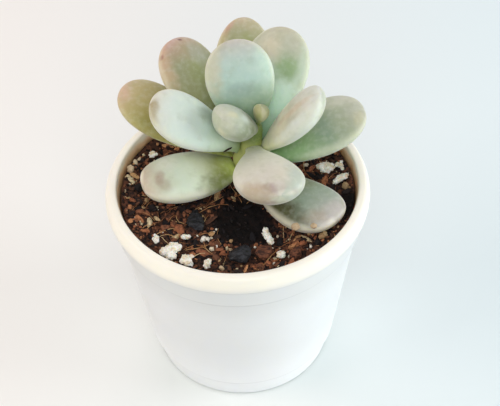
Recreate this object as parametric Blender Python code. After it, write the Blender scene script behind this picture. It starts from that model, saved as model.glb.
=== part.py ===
"""A moonstone succulent growing in a small white plastic pot.

The pot's axis is Z and its underside lies on Z = 0. The plant's front faces -Y and +X is its right.
Every size below is in millimetres; MM turns them into metres when a mesh is made.
"""
import math
import random

import bpy
import bmesh
from mathutils import Vector, noise
from mathutils.geometry import delaunay_2d_cdt

MM = 0.001
GAP = 0.35                    # clearance between neighbouring solids

# The pot: one moulding, turned round its axis
POT_SIDES = 56
POT_HEIGHT = 70.0
FOOT_RADIUS = 28.5            # stepped-in foot that the pot stands on
FOOT_HEIGHT = 8.0
FOOT_ROUND = 0.8              # rounding at the foot's lower edge
HEEL_RADIUS = 30.6            # lower end of the tapered wall
HEEL_ROUND = 0.9
WALL_TOP = 56.0               # the wall ends at a small step
WALL_TOP_RADIUS = 37.0
STEP_RISE = 0.7
BAND_RADIUS = 37.8            # smooth band between the step and the rim
DRAFT = 0.2                   # how far the foot, the band and the rim widen upwards
RIM_LOW = 63.8                # underside of the thick rolled rim
RIM_LOW_RADIUS = 39.2
RIM_LOW_ROUND = 1.0
RIM_RADIUS = 40.0
RIM_WIDEST = 66.2             # height at which the rim is widest
RIM_SHOULDER = 2.0            # width of the rounded shoulder of the rim
MOUTH_RADIUS = 36.4
LIP_ROUND = 1.0
FLOOR = 2.2                   # thickness of the pot's floor
FLOOR_RADIUS = 26.4
FLOOR_DRAFT = 0.4             # how much narrower the inside is at the floor than at the foot's top
INNER_HEEL = (29.0, 9.6)      # radius and height where the inner wall starts to taper
INNER_STEP = (34.9, WALL_TOP)
INNER_THROAT = (35.6, 65.0)
DRAIN_HOLES = 5
DRAIN_SIDES = 14
DRAIN_RADIUS = 3.0
DRAIN_CIRCLE = 16.0           # circle on which the drain holes lie
DRAIN_MARGIN = 6.0            # flat floor on each side of that circle
DRILL_OVERRUN = 2.0           # how far the cutter reaches past the floor

# The stem: upright in the soil, leaning to the right where the crown grew towards the light
STEM_SIDES = 16
STEM_ROWS = 14
STEM_X = 2.5
STEM_Y = 6.0
STEM_FOOT = 55.0              # lower end, down in the soil
STEM_TOP = 84.5               # where the rounded growing point begins
STEM_TIP = 1.5                # height of the growing point
TIP_RINGS = (0.5, 0.85)       # shares of that height at which its rings lie
STEM_RADIUS = 3.3
CROWN_RADIUS = 2.0
THIN_FROM = 74.0              # the stem thins above this height
LEAN_FROM = 72.0
LEAN_OVER = 12.0              # height through which the stem leans and thins
LEAN_X = 3.5
LEAN_Y = 1.0

# The soil: a block that fills the pot, with a crumbly top that dips towards the front of the stem
SOIL_EDGE = 65.2              # height at the pot's wall
SOIL_LEVEL = 63.4             # height round the plant
SOIL_DISH = 24.0              # radius inside which the soil keeps that lower level
SOIL_BANK = 9.0               # width over which it rises towards the wall
SOIL_GRID = 1.55              # distance between the points of its top
GRID_ROW = math.sqrt(0.75)    # rows of a triangular grid, as a share of its spacing
GRID_JITTER = 0.22            # seeded shift of each point, as a share of the spacing
GRID_MARGIN = 0.6             # spacing kept free along the wall and the stem's hole
CRUMB_HEIGHT = 0.5
CRUMB_SIZE = 3.2
CRUMB_SLICE = 3.0             # height at which the noise field is read
HOLLOW = (3.0, -12.0)         # dark hollow in front of the stem
HOLLOW_RADIUS = 9.0
HOLLOW_DEPTH = 1.2
STEM_HOLE_DEPTH = 9.0
SEED = 11

# Leaves, lowest on the stem first. heading: seen from above, 0 = right, 90 = back. rise: above the
# horizontal. foot: height on the stem. taper: how slowly the foot widens into the blade. roll: about
# the leaf's own length. sweep: how far the tip swings sideways.
LEAVES = {
    "leaf_front_right": dict(heading=-48.5, rise=-3.0, foot=70.8, length=31.5, width=19.6, thick=9.0,
                             taper=0.95, sweep=3.5, tip=0.42, neck=0.3),
    "leaf_left": dict(heading=-166.0, rise=1.5, foot=71.0, length=28.5, width=19.2, thick=9.4,
                      taper=0.5, tip=0.38, neck=0.38),
    "leaf_back": dict(heading=87.5, rise=39.5, foot=68.3, length=45.0, width=19.0, thick=8.5),
    "leaf_right": dict(heading=12.0, rise=18.0, foot=73.7, length=35.0, width=21.6, thick=9.0,
                       taper=0.75, tip=0.44, neck=0.22),
    "leaf_far_left": dict(heading=157.0, rise=24.5, foot=73.3, length=39.5, width=19.8, thick=7.8,
                          taper=1.1, tip=0.47),
    "leaf_back_left": dict(heading=133.0, rise=41.5, foot=76.0, length=37.5, width=19.6, thick=7.8,
                           taper=0.9, tip=0.46),
    "leaf_back_right": dict(heading=62.0, rise=45.5, foot=75.8, length=36.5, width=21.0, thick=8.5,
                            taper=0.95),
    "leaf_front": dict(heading=-82.0, rise=11.0, foot=79.5, length=25.5, width=20.0, thick=11.0,
                       taper=1.0, sweep=3.0, tip=0.46, neck=0.28),
    "leaf_upper_right": dict(heading=-7.0, rise=52.5, foot=78.4, length=27.0, width=15.0, thick=8.8,
                             tip=0.42, neck=0.28),
    "leaf_upper_left": dict(heading=-174.0, rise=38.5, foot=78.9, length=31.8, width=17.0, thick=8.0,
                            taper=0.9, roll=-24.0, tip=0.48, neck=0.36),
    "leaf_upper_back": dict(heading=114.5, rise=70.0, foot=82.0, length=28.5, width=20.3, thick=7.0,
                            taper=0.75, roll=-20.0),
    "leaf_crown": dict(heading=-147.0, rise=42.0, foot=86.2, length=14.2, width=13.8, thick=9.4,
                       taper=0.65, tip=0.46, neck=0.5),
    "leaf_bud": dict(heading=22.0, rise=80.0, foot=86.4, length=6.2, width=5.4, thick=4.8,
                     taper=0.95, neck=0.35),
}
LEAF_TAPER = 0.82             # taper where a leaf gives none
DEPTH_TAPER = 0.95            # the thickness grows a little faster than the width
LEAF_TIP = 0.5                # tip where a leaf gives none
LEAF_START = 0.04             # share of the outline left out at the narrow foot
LEAF_RINGS = 13
LEAF_EASING = 1.7             # rings lie closer together towards the tip
LEAF_SIDES = 16
UPPER_SHARE = 0.8             # the upper face is flatter than the lower one
LOWER_SHARE = 1.2

# Loose lumps that lie on the soil: kind, x, y, half length, half width, half height, turn in degrees
LUMPS = {
    "perlite_big": ("perlite", -19.9, -23.4, 2.9, 2.4, 2.0, 25.0),
    "perlite_round": ("perlite", -15.2, -27.2, 1.8, 1.8, 1.6, 0.0),
    "perlite_tall": ("perlite", -9.6, -28.6, 1.9, 1.2, 1.6, 110.0),
    "perlite_hooked": ("perlite", 8.2, -17.9, 2.8, 1.8, 1.7, 105.0),
    "perlite_front": ("perlite", 11.9, -26.6, 1.6, 1.4, 1.3, 40.0),
    "perlite_left": ("perlite", -24.4, -17.8, 1.6, 1.2, 1.1, 80.0),
    "perlite_middle": ("perlite", -16.0, -16.7, 1.5, 1.1, 1.1, 20.0),
    "perlite_right": ("perlite", 27.6, 9.2, 2.7, 2.2, 1.7, 10.0),
    "perlite_right_small": ("perlite", 32.0, 9.4, 1.5, 1.4, 1.2, 60.0),
    "perlite_right_long": ("perlite", 31.6, 3.4, 3.1, 1.3, 1.3, 42.0),
    "perlite_far_left": ("perlite", -26.3, 17.8, 1.6, 1.1, 1.1, 15.0),
    "bark_front": ("bark", 6.9, -24.4, 2.5, 2.2, 1.7, 70.0),
    "bark_right": ("bark", 16.2, -26.0, 2.3, 1.7, 1.4, 30.0),
    "charcoal_front": ("charcoal", 0.1, -25.2, 4.1, 3.3, 1.9, 60.0),
    "charcoal_left": ("charcoal", -13.2, -10.9, 4.3, 2.3, 1.4, 100.0),
}
LUMP_ROUGHNESS = 0.14
LUMP_PATCH = 1.3              # how finely the roughness varies over a lump
LUMP_FLAT = 0.55              # share of the half height at which its underside is flat
LUMP_BELLY = 0.02             # how little that underside still bulges
SEAT_DEPTH = 0.5              # how far a lump is pressed into the soil
SEAT_LIMIT = 1.2              # seats on the bank lie no higher than this above SOIL_LEVEL
SEAT_MARGIN = 2.3             # flat soil kept round a lump

# Base colour, roughness and metallic value of each material
FINISHES = {
    "pot_plastic": ((0.86, 0.85, 0.80), 0.35, 0.0),
    "soil": ((0.045, 0.028, 0.020), 0.95, 0.0),
    "stem_green": ((0.40, 0.48, 0.22), 0.6, 0.0),
    "leaf_skin": ((0.58, 0.68, 0.58), 0.55, 0.0),
    "perlite": ((0.85, 0.83, 0.76), 0.9, 0.0),
    "bark": ((0.22, 0.10, 0.06), 0.9, 0.0),
    "charcoal": ((0.05, 0.055, 0.06), 0.8, 0.0),
}


def clear_scene():
    for old in list(bpy.data.objects):
        bpy.data.objects.remove(old, do_unlink=True)


def finish(name):
    """A Principled material from the table of finishes, made once."""
    made = bpy.data.materials.get(name)
    if made:
        return made
    colour, roughness, metallic = FINISHES[name]
    made = bpy.data.materials.new(name)
    made.use_nodes = True
    shader = made.node_tree.nodes["Principled BSDF"]
    shader.inputs["Base Color"].default_value = (*colour, 1.0)
    shader.inputs["Roughness"].default_value = roughness
    shader.inputs["Metallic"].default_value = metallic
    return made


def add_object(name, points, faces, material):
    """An object from points in millimetres."""
    mesh = bpy.data.meshes.new(name)
    mesh.from_pydata([Vector(p) * MM for p in points], [], faces)
    mesh.validate()
    mesh.shade_smooth()
    mesh.materials.append(finish(material))
    thing = bpy.data.objects.new(name, mesh)
    bpy.context.scene.collection.objects.link(thing)
    return thing


def smoothstep(value):
    value = min(1.0, max(0.0, value))
    return value * value * (3.0 - 2.0 * value)


def circle(radius, z, sides, x=0.0, y=0.0):
    turns = [2.0 * math.pi * k / sides for k in range(sides)]
    return [(x + radius * math.cos(t), y + radius * math.sin(t), z) for t in turns]


def quarter(centre, across, up, start, end, steps):
    """Points of an ellipse in the radius-height plane, between two angles in degrees."""
    angles = [math.radians(start + (end - start) * k / steps) for k in range(steps + 1)]
    return [(centre[0] + across * math.cos(a), centre[1] + up * math.sin(a)) for a in angles]


def bands(first, sides, rows):
    """Quads between the following rings of points, seen from outside when the rings climb."""
    faces = []
    for row in range(rows - 1):
        low = first + row * sides
        for k in range(sides):
            beside = (k + 1) % sides
            faces.append((low + k, low + beside, low + sides + beside, low + sides + k))
    return faces


def fan(centre, ring, sides, upward):
    """Triangles from a centre point to a ring of points."""
    faces = []
    for k in range(sides):
        beside = (k + 1) % sides
        pair = (ring + k, ring + beside) if upward else (ring + beside, ring + k)
        faces.append((centre, *pair))
    return faces


def pot_outside():
    """Radius and height up the outside of the pot and over its rim."""
    foot = [(DRAIN_CIRCLE - DRAIN_MARGIN, 0.0), (DRAIN_CIRCLE + DRAIN_MARGIN, 0.0)]
    foot += [(FOOT_RADIUS - FOOT_ROUND, 0.0), (FOOT_RADIUS, FOOT_ROUND)]
    foot.append((FOOT_RADIUS + DRAFT, FOOT_HEIGHT - DRAFT))
    heel_centre = (HEEL_RADIUS - HEEL_ROUND, FOOT_HEIGHT + HEEL_ROUND)
    heel = quarter(heel_centre, HEEL_ROUND, HEEL_ROUND, -90.0, 0.0, 3)
    step = [(WALL_TOP_RADIUS, WALL_TOP), (BAND_RADIUS, WALL_TOP + STEP_RISE)]
    step.append((BAND_RADIUS + DRAFT, RIM_LOW - DRAFT))
    roll = [(RIM_LOW_RADIUS, RIM_LOW), (RIM_RADIUS - DRAFT, RIM_LOW + RIM_LOW_ROUND)]
    shoulder_centre = (RIM_RADIUS - RIM_SHOULDER, RIM_WIDEST)
    shoulder = quarter(shoulder_centre, RIM_SHOULDER, POT_HEIGHT - RIM_WIDEST, 0.0, 90.0, 5)
    lip_centre = (MOUTH_RADIUS + LIP_ROUND, POT_HEIGHT - LIP_ROUND)
    lip = quarter(lip_centre, LIP_ROUND, LIP_ROUND, 90.0, 180.0, 3)
    return foot + heel + step + roll + shoulder + lip


def pot_inside():
    """Radius and height down the inside of the pot to its floor."""
    wall = [INNER_THROAT, INNER_STEP, INNER_HEEL]
    floor = [(FLOOR_RADIUS, FOOT_HEIGHT - FLOOR_DRAFT), (FLOOR_RADIUS - FLOOR_DRAFT, FLOOR)]
    floor += [(DRAIN_CIRCLE + DRAIN_MARGIN, FLOOR), (DRAIN_CIRCLE - DRAIN_MARGIN, FLOOR)]
    return wall + floor


def make_pot():
    profile = pot_outside() + pot_inside()
    points = [(0.0, 0.0, 0.0)]
    for radius, height in profile:
        points += circle(radius, height, POT_SIDES)
    points.append((0.0, 0.0, FLOOR))
    faces = fan(0, 1, POT_SIDES, upward=False)
    faces += bands(1, POT_SIDES, len(profile))
    faces += fan(len(points) - 1, 1 + POT_SIDES * (len(profile) - 1), POT_SIDES, upward=True)
    pot = add_object("pot", points, faces, "pot_plastic")
    drill = make_drill()
    cut = pot.modifiers.new("drain holes", "BOOLEAN")
    cut.operation = "DIFFERENCE"
    cut.solver = "EXACT"
    cut.object = drill
    return pot


def make_drill():
    """The cutter for the drain holes: upright cylinders through the floor."""
    points, faces = [], []
    for k in range(DRAIN_HOLES):
        turn = 2.0 * math.pi * (k + 0.5) / DRAIN_HOLES
        x = DRAIN_CIRCLE * math.cos(turn)
        y = DRAIN_CIRCLE * math.sin(turn)
        first = len(points)
        points += circle(DRAIN_RADIUS, -DRILL_OVERRUN, DRAIN_SIDES, x, y)
        points += circle(DRAIN_RADIUS, FLOOR + DRILL_OVERRUN, DRAIN_SIDES, x, y)
        faces += bands(first, DRAIN_SIDES, 2)
        faces.append(tuple(first + side for side in reversed(range(DRAIN_SIDES))))
        faces.append(tuple(first + DRAIN_SIDES + side for side in range(DRAIN_SIDES)))
    drill = add_object("drain_hole_cutter", points, faces, "pot_plastic")
    drill.hide_render = True
    drill.display_type = "WIRE"
    return drill


def wall_radius(z):
    """Inner radius of the pot at a height above its inner heel."""
    stations = [INNER_HEEL, INNER_STEP, INNER_THROAT, (MOUTH_RADIUS, POT_HEIGHT - LIP_ROUND)]
    for (low_r, low_z), (high_r, high_z) in zip(stations, stations[1:]):
        if z <= high_z:
            return low_r + (high_r - low_r) * (z - low_z) / (high_z - low_z)
    return MOUTH_RADIUS


def stem_centre(z):
    lean = smoothstep((z - LEAN_FROM) / LEAN_OVER)
    return Vector((STEM_X + LEAN_X * lean, STEM_Y + LEAN_Y * lean, z))


def stem_radius(z):
    """Radius of the stem, closing to nothing at the tip of the growing point."""
    thinned = smoothstep((z - THIN_FROM) / LEAN_OVER)
    radius = STEM_RADIUS + (CROWN_RADIUS - STEM_RADIUS) * thinned
    above = (z - STEM_TOP) / STEM_TIP
    if above <= 0.0:
        return radius
    return radius * math.sqrt(max(0.0, 1.0 - above * above))


def make_stem():
    heights = [STEM_FOOT + (STEM_TOP - STEM_FOOT) * row / STEM_ROWS for row in range(STEM_ROWS + 1)]
    heights += [STEM_TOP + share * STEM_TIP for share in TIP_RINGS]
    points = [stem_centre(STEM_FOOT)]
    for z in heights:
        x, y, _ = stem_centre(z)
        points += circle(stem_radius(z), z, STEM_SIDES, x, y)
    points.append(stem_centre(STEM_TOP + STEM_TIP))
    faces = fan(0, 1, STEM_SIDES, upward=False)
    faces += bands(1, STEM_SIDES, len(heights))
    faces += fan(len(points) - 1, 1 + STEM_SIDES * (len(heights) - 1), STEM_SIDES, upward=True)
    return add_object("stem", points, faces, "stem_green")


def swell(share, taper, tip, neck):
    """Width of a leaf's outline at a share of its length, 1 at the widest place."""
    widest = taper / (taper + tip)
    peak = widest ** taper * (1.0 - widest) ** tip
    blade = share ** taper * (1.0 - share) ** tip / peak
    return (blade ** 3 + (neck * (1.0 - share) ** 2) ** 3) ** (1.0 / 3.0)


def make_leaf(name, heading, rise, foot, length, width, thick,
              taper=LEAF_TAPER, roll=0.0, sweep=0.0, tip=LEAF_TIP, neck=0.0):
    """A plump spoon-shaped leaf whose narrow foot ends just off the stem."""
    turn, climb, spin = math.radians(heading), math.radians(rise), math.radians(roll)
    outward = Vector((math.cos(turn), math.sin(turn), 0.0))
    along = outward * math.cos(climb) + Vector((0.0, 0.0, math.sin(climb)))
    upward = Vector((0.0, 0.0, math.cos(climb))) - outward * math.sin(climb)
    across = upward.cross(along)
    side = across * math.cos(spin) + upward * math.sin(spin)
    face = upward * math.cos(spin) - across * math.sin(spin)
    depth = taper * DEPTH_TAPER
    foot_rise = UPPER_SHARE * 0.5 * thick * swell(LEAF_START, depth, tip, neck) * math.sin(climb)
    base = stem_centre(foot) + outward * (stem_radius(foot) + GAP + foot_rise)
    points = [base]
    for ring in range(LEAF_RINGS):
        eased = 1.0 - (1.0 - ring / LEAF_RINGS) ** LEAF_EASING
        share = LEAF_START + (1.0 - LEAF_START) * eased
        middle = base + along * (length * eased) + side * (sweep * share ** 2)
        half_width = 0.5 * width * swell(share, taper, tip, neck)
        half_thick = 0.5 * thick * swell(share, depth, tip, neck)
        for k in range(LEAF_SIDES):
            around = 2.0 * math.pi * k / LEAF_SIDES
            lift = math.sin(around) * (UPPER_SHARE if math.sin(around) > 0.0 else LOWER_SHARE)
            points.append(middle + side * (math.cos(around) * half_width) + face * (lift * half_thick))
    points.append(base + along * length + side * sweep)
    faces = fan(0, 1, LEAF_SIDES, upward=False)
    faces += bands(1, LEAF_SIDES, LEAF_RINGS)
    faces += fan(len(points) - 1, 1 + LEAF_SIDES * (LEAF_RINGS - 1), LEAF_SIDES, upward=True)
    return add_object(name, points, faces, "leaf_skin")


def open_soil(x, y):
    """Height of the soil's top before any lump is pressed into it."""
    bank = smoothstep((math.hypot(x, y) - SOIL_DISH) / SOIL_BANK)
    level = SOIL_LEVEL + (SOIL_EDGE - SOIL_LEVEL) * bank
    crumbs = CRUMB_HEIGHT * noise.noise(Vector((x, y, CRUMB_SLICE)) / CRUMB_SIZE)
    near = math.hypot(x - HOLLOW[0], y - HOLLOW[1]) / HOLLOW_RADIUS
    return level + crumbs - HOLLOW_DEPTH * (1.0 - smoothstep(near))


def seat_height(x, y):
    """Height of the flat seat that a lump has pressed into the soil."""
    return min(open_soil(x, y), SOIL_LEVEL + SEAT_LIMIT) - SEAT_DEPTH


def soil_height(x, y):
    """Height of the soil's top, flat under each lump."""
    height = open_soil(x, y)
    for _, lump_x, lump_y, long, wide, _, _ in LUMPS.values():
        away = math.hypot(x - lump_x, y - lump_y) - max(long, wide)
        if away < SEAT_MARGIN:
            height = min(height, seat_height(lump_x, lump_y))
    return height


def soil_top_points(hole_radius):
    """Points of the soil's top: the wall's ring, the stem hole's ring and a seeded grid between."""
    jitter = random.Random(SEED)
    outer = wall_radius(SOIL_EDGE) - GAP
    rim = circle(outer, SOIL_EDGE, POT_SIDES)
    hole = circle(hole_radius, SOIL_LEVEL, STEM_SIDES, STEM_X, STEM_Y)
    margin = GRID_MARGIN * SOIL_GRID
    inner = []
    rows = int(outer / (SOIL_GRID * GRID_ROW)) + 1
    for row in range(-rows, rows + 1):
        for column in range(-rows, rows + 1):
            x = SOIL_GRID * (column + 0.5 * (row % 2) + jitter.uniform(-GRID_JITTER, GRID_JITTER))
            y = SOIL_GRID * (GRID_ROW * row + jitter.uniform(-GRID_JITTER, GRID_JITTER))
            from_wall = outer - math.hypot(x, y)
            from_stem = math.hypot(x - STEM_X, y - STEM_Y) - hole_radius
            if from_wall > margin and from_stem > margin:
                inner.append((x, y, soil_height(x, y)))
    return rim, hole, inner


def soil_top_faces(top):
    """Triangles between the points of the soil's top, leaving the stem's hole open."""
    flat = [Vector((x, y)) for x, y, _ in top]
    rings = [(0, POT_SIDES), (POT_SIDES, STEM_SIDES)]
    edges = [(first + k, first + (k + 1) % sides) for first, sides in rings for k in range(sides)]
    _, _, triangles, origins, _, _ = delaunay_2d_cdt(flat, edges, [], 0, 1e-6)
    hole = range(POT_SIDES, POT_SIDES + STEM_SIDES)
    faces = []
    for triangle in triangles:
        corners = tuple(origins[index][0] for index in triangle)
        if not all(corner in hole for corner in corners):
            faces.append(corners)
    return faces


def make_soil():
    """One block with a plain hole for the stem; its sides follow the pot's inner wall."""
    hole_radius = STEM_RADIUS + GAP
    rim, hole, inner = soil_top_points(hole_radius)
    points = rim + hole + inner
    faces = soil_top_faces(points)
    below = len(points)
    sides = [INNER_STEP, (INNER_HEEL[0], INNER_HEEL[1] + GAP), (FLOOR_RADIUS, FOOT_HEIGHT)]
    sides.append((FLOOR_RADIUS - FLOOR_DRAFT, FLOOR + GAP))
    for radius, height in sides:
        points += circle(radius - GAP, height, POT_SIDES)
    for k in range(POT_SIDES):
        beside = (k + 1) % POT_SIDES
        faces.append((k, below + k, below + beside, beside))
    faces += [tuple(reversed(quad)) for quad in bands(below, POT_SIDES, len(sides))]
    points.append((0.0, 0.0, FLOOR + GAP))
    faces += fan(len(points) - 1, below + (len(sides) - 1) * POT_SIDES, POT_SIDES, upward=False)
    hole_floor = len(points)
    points += circle(hole_radius, SOIL_LEVEL - STEM_HOLE_DEPTH, STEM_SIDES, STEM_X, STEM_Y)
    points.append((STEM_X, STEM_Y, SOIL_LEVEL - STEM_HOLE_DEPTH))
    for k in range(STEM_SIDES):
        beside = (k + 1) % STEM_SIDES
        faces.append((POT_SIDES + k, POT_SIDES + beside, hole_floor + beside, hole_floor + k))
    faces += fan(len(points) - 1, hole_floor, STEM_SIDES, upward=True)
    return add_object("soil", points, faces, "soil")


def make_lump(name, kind, x, y, long, wide, high, turn):
    """A rough lump with a flat underside, resting in its seat in the soil."""
    shape = bmesh.new()
    bmesh.ops.create_icosphere(shape, subdivisions=2, radius=1.0)
    shift = Vector((x, y, 0.0))
    cosine, sine = math.cos(math.radians(turn)), math.sin(math.radians(turn))
    lowest = (LUMP_FLAT + LUMP_BELLY * (1.0 + LUMP_ROUGHNESS)) * high
    middle = seat_height(x, y) + GAP + lowest
    points = []
    for corner in shape.verts:
        rough = 1.0 + LUMP_ROUGHNESS * noise.noise(corner.co * LUMP_PATCH + shift)
        px, py, pz = corner.co * rough
        pz = max(pz, -LUMP_FLAT + LUMP_BELLY * pz)
        px, py, pz = px * long, py * wide, pz * high
        points.append((x + cosine * px - sine * py, y + sine * px + cosine * py, middle + pz))
    faces = [tuple(corner.index for corner in face.verts) for face in shape.faces]
    shape.free()
    return add_object(name, points, faces, kind)


clear_scene()
make_pot()
make_soil()
make_stem()
for leaf_name, leaf_sizes in LEAVES.items():
    make_leaf(leaf_name, **leaf_sizes)
for lump_name, lump_sizes in LUMPS.items():
    make_lump(lump_name, *lump_sizes)
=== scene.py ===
"""A moonstone succulent in a small white plastic pot, dressed over its solid frame.

The pot stands on the floor at Z = 0 with its axis on Z. The plant's front faces -Y and +X is its right.
Sizes are in millimetres, and MM turns them into metres. Colours are screen values from 0 to 255.
"""
import math
import random

import bpy
import bmesh
from mathutils import Euler, Matrix, Vector, noise
from mathutils.bvhtree import BVHTree
from mathutils.geometry import delaunay_2d_cdt


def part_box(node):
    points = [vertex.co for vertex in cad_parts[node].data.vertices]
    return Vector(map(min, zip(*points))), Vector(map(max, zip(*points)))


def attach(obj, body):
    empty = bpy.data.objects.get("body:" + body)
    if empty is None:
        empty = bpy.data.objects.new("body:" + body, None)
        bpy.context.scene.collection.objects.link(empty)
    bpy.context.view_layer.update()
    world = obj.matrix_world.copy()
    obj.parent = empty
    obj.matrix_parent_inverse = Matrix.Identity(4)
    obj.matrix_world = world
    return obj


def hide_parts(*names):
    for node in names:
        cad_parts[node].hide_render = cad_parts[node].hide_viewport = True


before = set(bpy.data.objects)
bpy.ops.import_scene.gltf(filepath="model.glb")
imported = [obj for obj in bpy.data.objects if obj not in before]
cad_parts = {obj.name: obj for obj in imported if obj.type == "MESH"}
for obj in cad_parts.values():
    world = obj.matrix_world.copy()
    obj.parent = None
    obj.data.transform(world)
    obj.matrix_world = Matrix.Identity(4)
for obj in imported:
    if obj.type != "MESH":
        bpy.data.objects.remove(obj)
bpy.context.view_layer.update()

MM = 0.001


# The viewpoint. The plant is seen from above its front through a longish lens, about 36 cm from the
# middle of the rim, with the camera leaning a little to the left.
RIM_HEIGHT = 70.0
VIEW_DISTANCE = 361.0
VIEW_DOWN = 45.0              # how far the line to the rim's middle falls below the horizontal
VIEW_TILT = 43.9              # how far the camera is tipped up from looking straight down
VIEW_TURN = -0.56             # how far it is turned aside
VIEW_LEAN = -2.5              # how far it leans over
LENS = 86.4                   # focal length on a sensor 36 mm wide
NEAREST = 0.01                # nearest distance that the camera shows, in metres


def add_object(name, data):
    """An object of the scene that shows this data."""
    made = bpy.data.objects.new(name, data)
    bpy.context.scene.collection.objects.link(made)
    return made


camera = add_object("camera", bpy.data.cameras.new("camera"))
camera.data.lens = LENS
camera.data.clip_start = NEAREST
back = VIEW_DISTANCE * math.cos(math.radians(VIEW_DOWN))
above = VIEW_DISTANCE * math.sin(math.radians(VIEW_DOWN))
turned = Matrix.Rotation(math.radians(VIEW_TILT), 4, "X")
turned @= Matrix.Rotation(math.radians(VIEW_TURN), 4, "Y")
turned @= Matrix.Rotation(math.radians(VIEW_LEAN), 4, "Z")
camera.matrix_world = Matrix.Translation(Vector((0.0, -back, RIM_HEIGHT + above)) * MM) @ turned
bpy.context.scene.camera = camera
bpy.context.scene.view_settings.view_transform = "Standard"


# The table top and the light. A pale sheet lies under the pot in a bright white room, with a
# broad cool light low on the right, a weaker warm one on the left and two more in front and behind.
# The sheet's colour holds painted light: warm on the left and cool on the right like the lights, and a
# painted pool of light just in front of the pot.
# The sizes of this section are in metres.
SHEET_SIZE = 4.0
SHEET_WARM_LIGHT_TINT = (243, 240, 234)
SHEET_COOL_LIGHT_TINT = (226, 240, 242)
SHEET_PAINTED_POOL = (255, 255, 253)
POOL_MIDDLE = (0.0, -0.075, 0.0)     # middle of the painted pool of light, in front of the pot
SHEET_REACH = 0.06            # distance from there at which the painted light starts
SHEET_FULL = 0.018            # distance from there inside which it is full
SHEET_BLEND = 0.16            # distance over which the painted warm tint turns into the cool one
ROOM_LIGHT = (1.0, 0.96, 0.985)
ROOM_STRENGTH = 0.507
LIGHT_AIM = (0.0, 0.0, 0.06)
LIGHTS = {                    # place, side, power in watts, colour
    "light_front": ((0.0, -0.55, 0.65), 0.5, 1.98, (0.92, 1.0, 0.995)),
    "light_right": ((0.75, -0.10, 0.15), 0.4, 3.93, (0.923, 0.965, 1.0)),
    "light_left": ((-0.60, -0.10, 0.50), 0.5, 1.72, (1.0, 0.886, 0.819)),
    "light_back": ((0.0, 0.60, 0.60), 0.5, 1.28, (1.0, 0.91, 0.925)),
}


def paint(red, green, blue):
    """A screen colour in the linear light that shaders use."""
    linear = [v / 3294.6 if v <= 10 else ((v / 255.0 + 0.055) / 1.055) ** 2.4 for v in (red, green, blue)]
    return (*linear, 1.0)


def new_finish(name, roughness, **settings):
    """A Principled material with constant values on the shader's own sockets, _ standing for a space."""
    made = bpy.data.materials.new(name)
    made.use_nodes = True
    shader = made.node_tree.nodes["Principled BSDF"]
    shader.inputs["Roughness"].default_value = roughness
    for socket, value in settings.items():
        shader.inputs[socket.replace("_", " ")].default_value = value
    return made


def node(made, kind, feeds=None, **settings):
    """A shader node. Feeds are its inputs by name or number: each a value or another node's output."""
    new = made.node_tree.nodes.new("ShaderNode" + kind)
    for name, value in settings.items():
        setattr(new, name, value)
    for key, value in (feeds or {}).items():
        if isinstance(value, bpy.types.NodeSocket):
            made.node_tree.links.new(value, new.inputs[key])
        else:
            new.inputs[key].default_value = value
    return new


def wear(made, socket, output):
    """Wires a node's output to a socket of the Principled shader."""
    shader = made.node_tree.nodes["Principled BSDF"]
    made.node_tree.links.new(output, shader.inputs[socket])


def between(made, value, low, high, start=0.0, end=1.0):
    """Maps low..high to start..end along an S-curve, held at both ends."""
    feeds = {"Value": value, "From Min": low, "From Max": high, "To Min": start, "To Max": end}
    return node(made, "MapRange", feeds, interpolation_type="SMOOTHSTEP").outputs[0]


def mixed(made, share, first, second):
    """The second colour laid over the first by a share from 0 to 1."""
    return node(made, "Mix", {0: share, 6: first, 7: second}, data_type="RGBA").outputs[2]


def computed(made, operation, *values, kind="Math", result=0):
    """One step of arithmetic on shader values, or on vectors with the kind VectorMath."""
    return node(made, kind, dict(enumerate(values)), operation=operation).outputs[result]


def position(made):
    """Place on the piece in metres."""
    return node(made, "TexCoord").outputs["Object"]


def along_axis(made, axis):
    """Place on the piece along one axis, X 0, Y 1 or Z 2, in metres."""
    return node(made, "SeparateXYZ", {0: position(made)}).outputs[axis]


for name, (place, size, power, colour) in LIGHTS.items():
    lamp = bpy.data.lights.new(name, "AREA")
    lamp.size = size
    lamp.energy = power
    lamp.color = colour
    light = add_object(name, lamp)
    light.location = place
    light.rotation_euler = (Vector(LIGHT_AIM) - Vector(place)).to_track_quat("-Z", "Y").to_euler()

half = 0.5 * SHEET_SIZE
sheet_corners = [(-half, -half, 0.0), (half, -half, 0.0), (half, half, 0.0), (-half, half, 0.0)]
sheet = bpy.data.meshes.new("floor")
sheet.from_pydata(sheet_corners, [], [(0, 1, 2, 3)])
floor = add_object("floor", sheet)
floor_finish = new_finish("floor_sheet", 0.8, Specular_IOR_Level=0.2)
# painted light in the sheet's colour: the lights' warm and cool tints, and a pool of light in front of the
# pot
cool_light_share = between(floor_finish, along_axis(floor_finish, 0), -SHEET_BLEND, SHEET_BLEND)
floor_colour = mixed(floor_finish, cool_light_share, paint(*SHEET_WARM_LIGHT_TINT), paint(*SHEET_COOL_LIGHT_TINT))
from_pool_middle = computed(floor_finish, "DISTANCE", position(floor_finish), POOL_MIDDLE,
                       kind="VectorMath", result="Value")
pool_share = between(floor_finish, from_pool_middle, SHEET_REACH, SHEET_FULL)
wear(floor_finish, "Base Color", mixed(floor_finish, pool_share, floor_colour, paint(*SHEET_PAINTED_POOL)))
sheet.materials.append(floor_finish)

room = bpy.data.worlds.new("room")
room.use_nodes = True
room.node_tree.nodes["Background"].inputs["Color"].default_value = (*ROOM_LIGHT, 1.0)
room.node_tree.nodes["Background"].inputs["Strength"].default_value = ROOM_STRENGTH
bpy.context.scene.world = room


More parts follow.
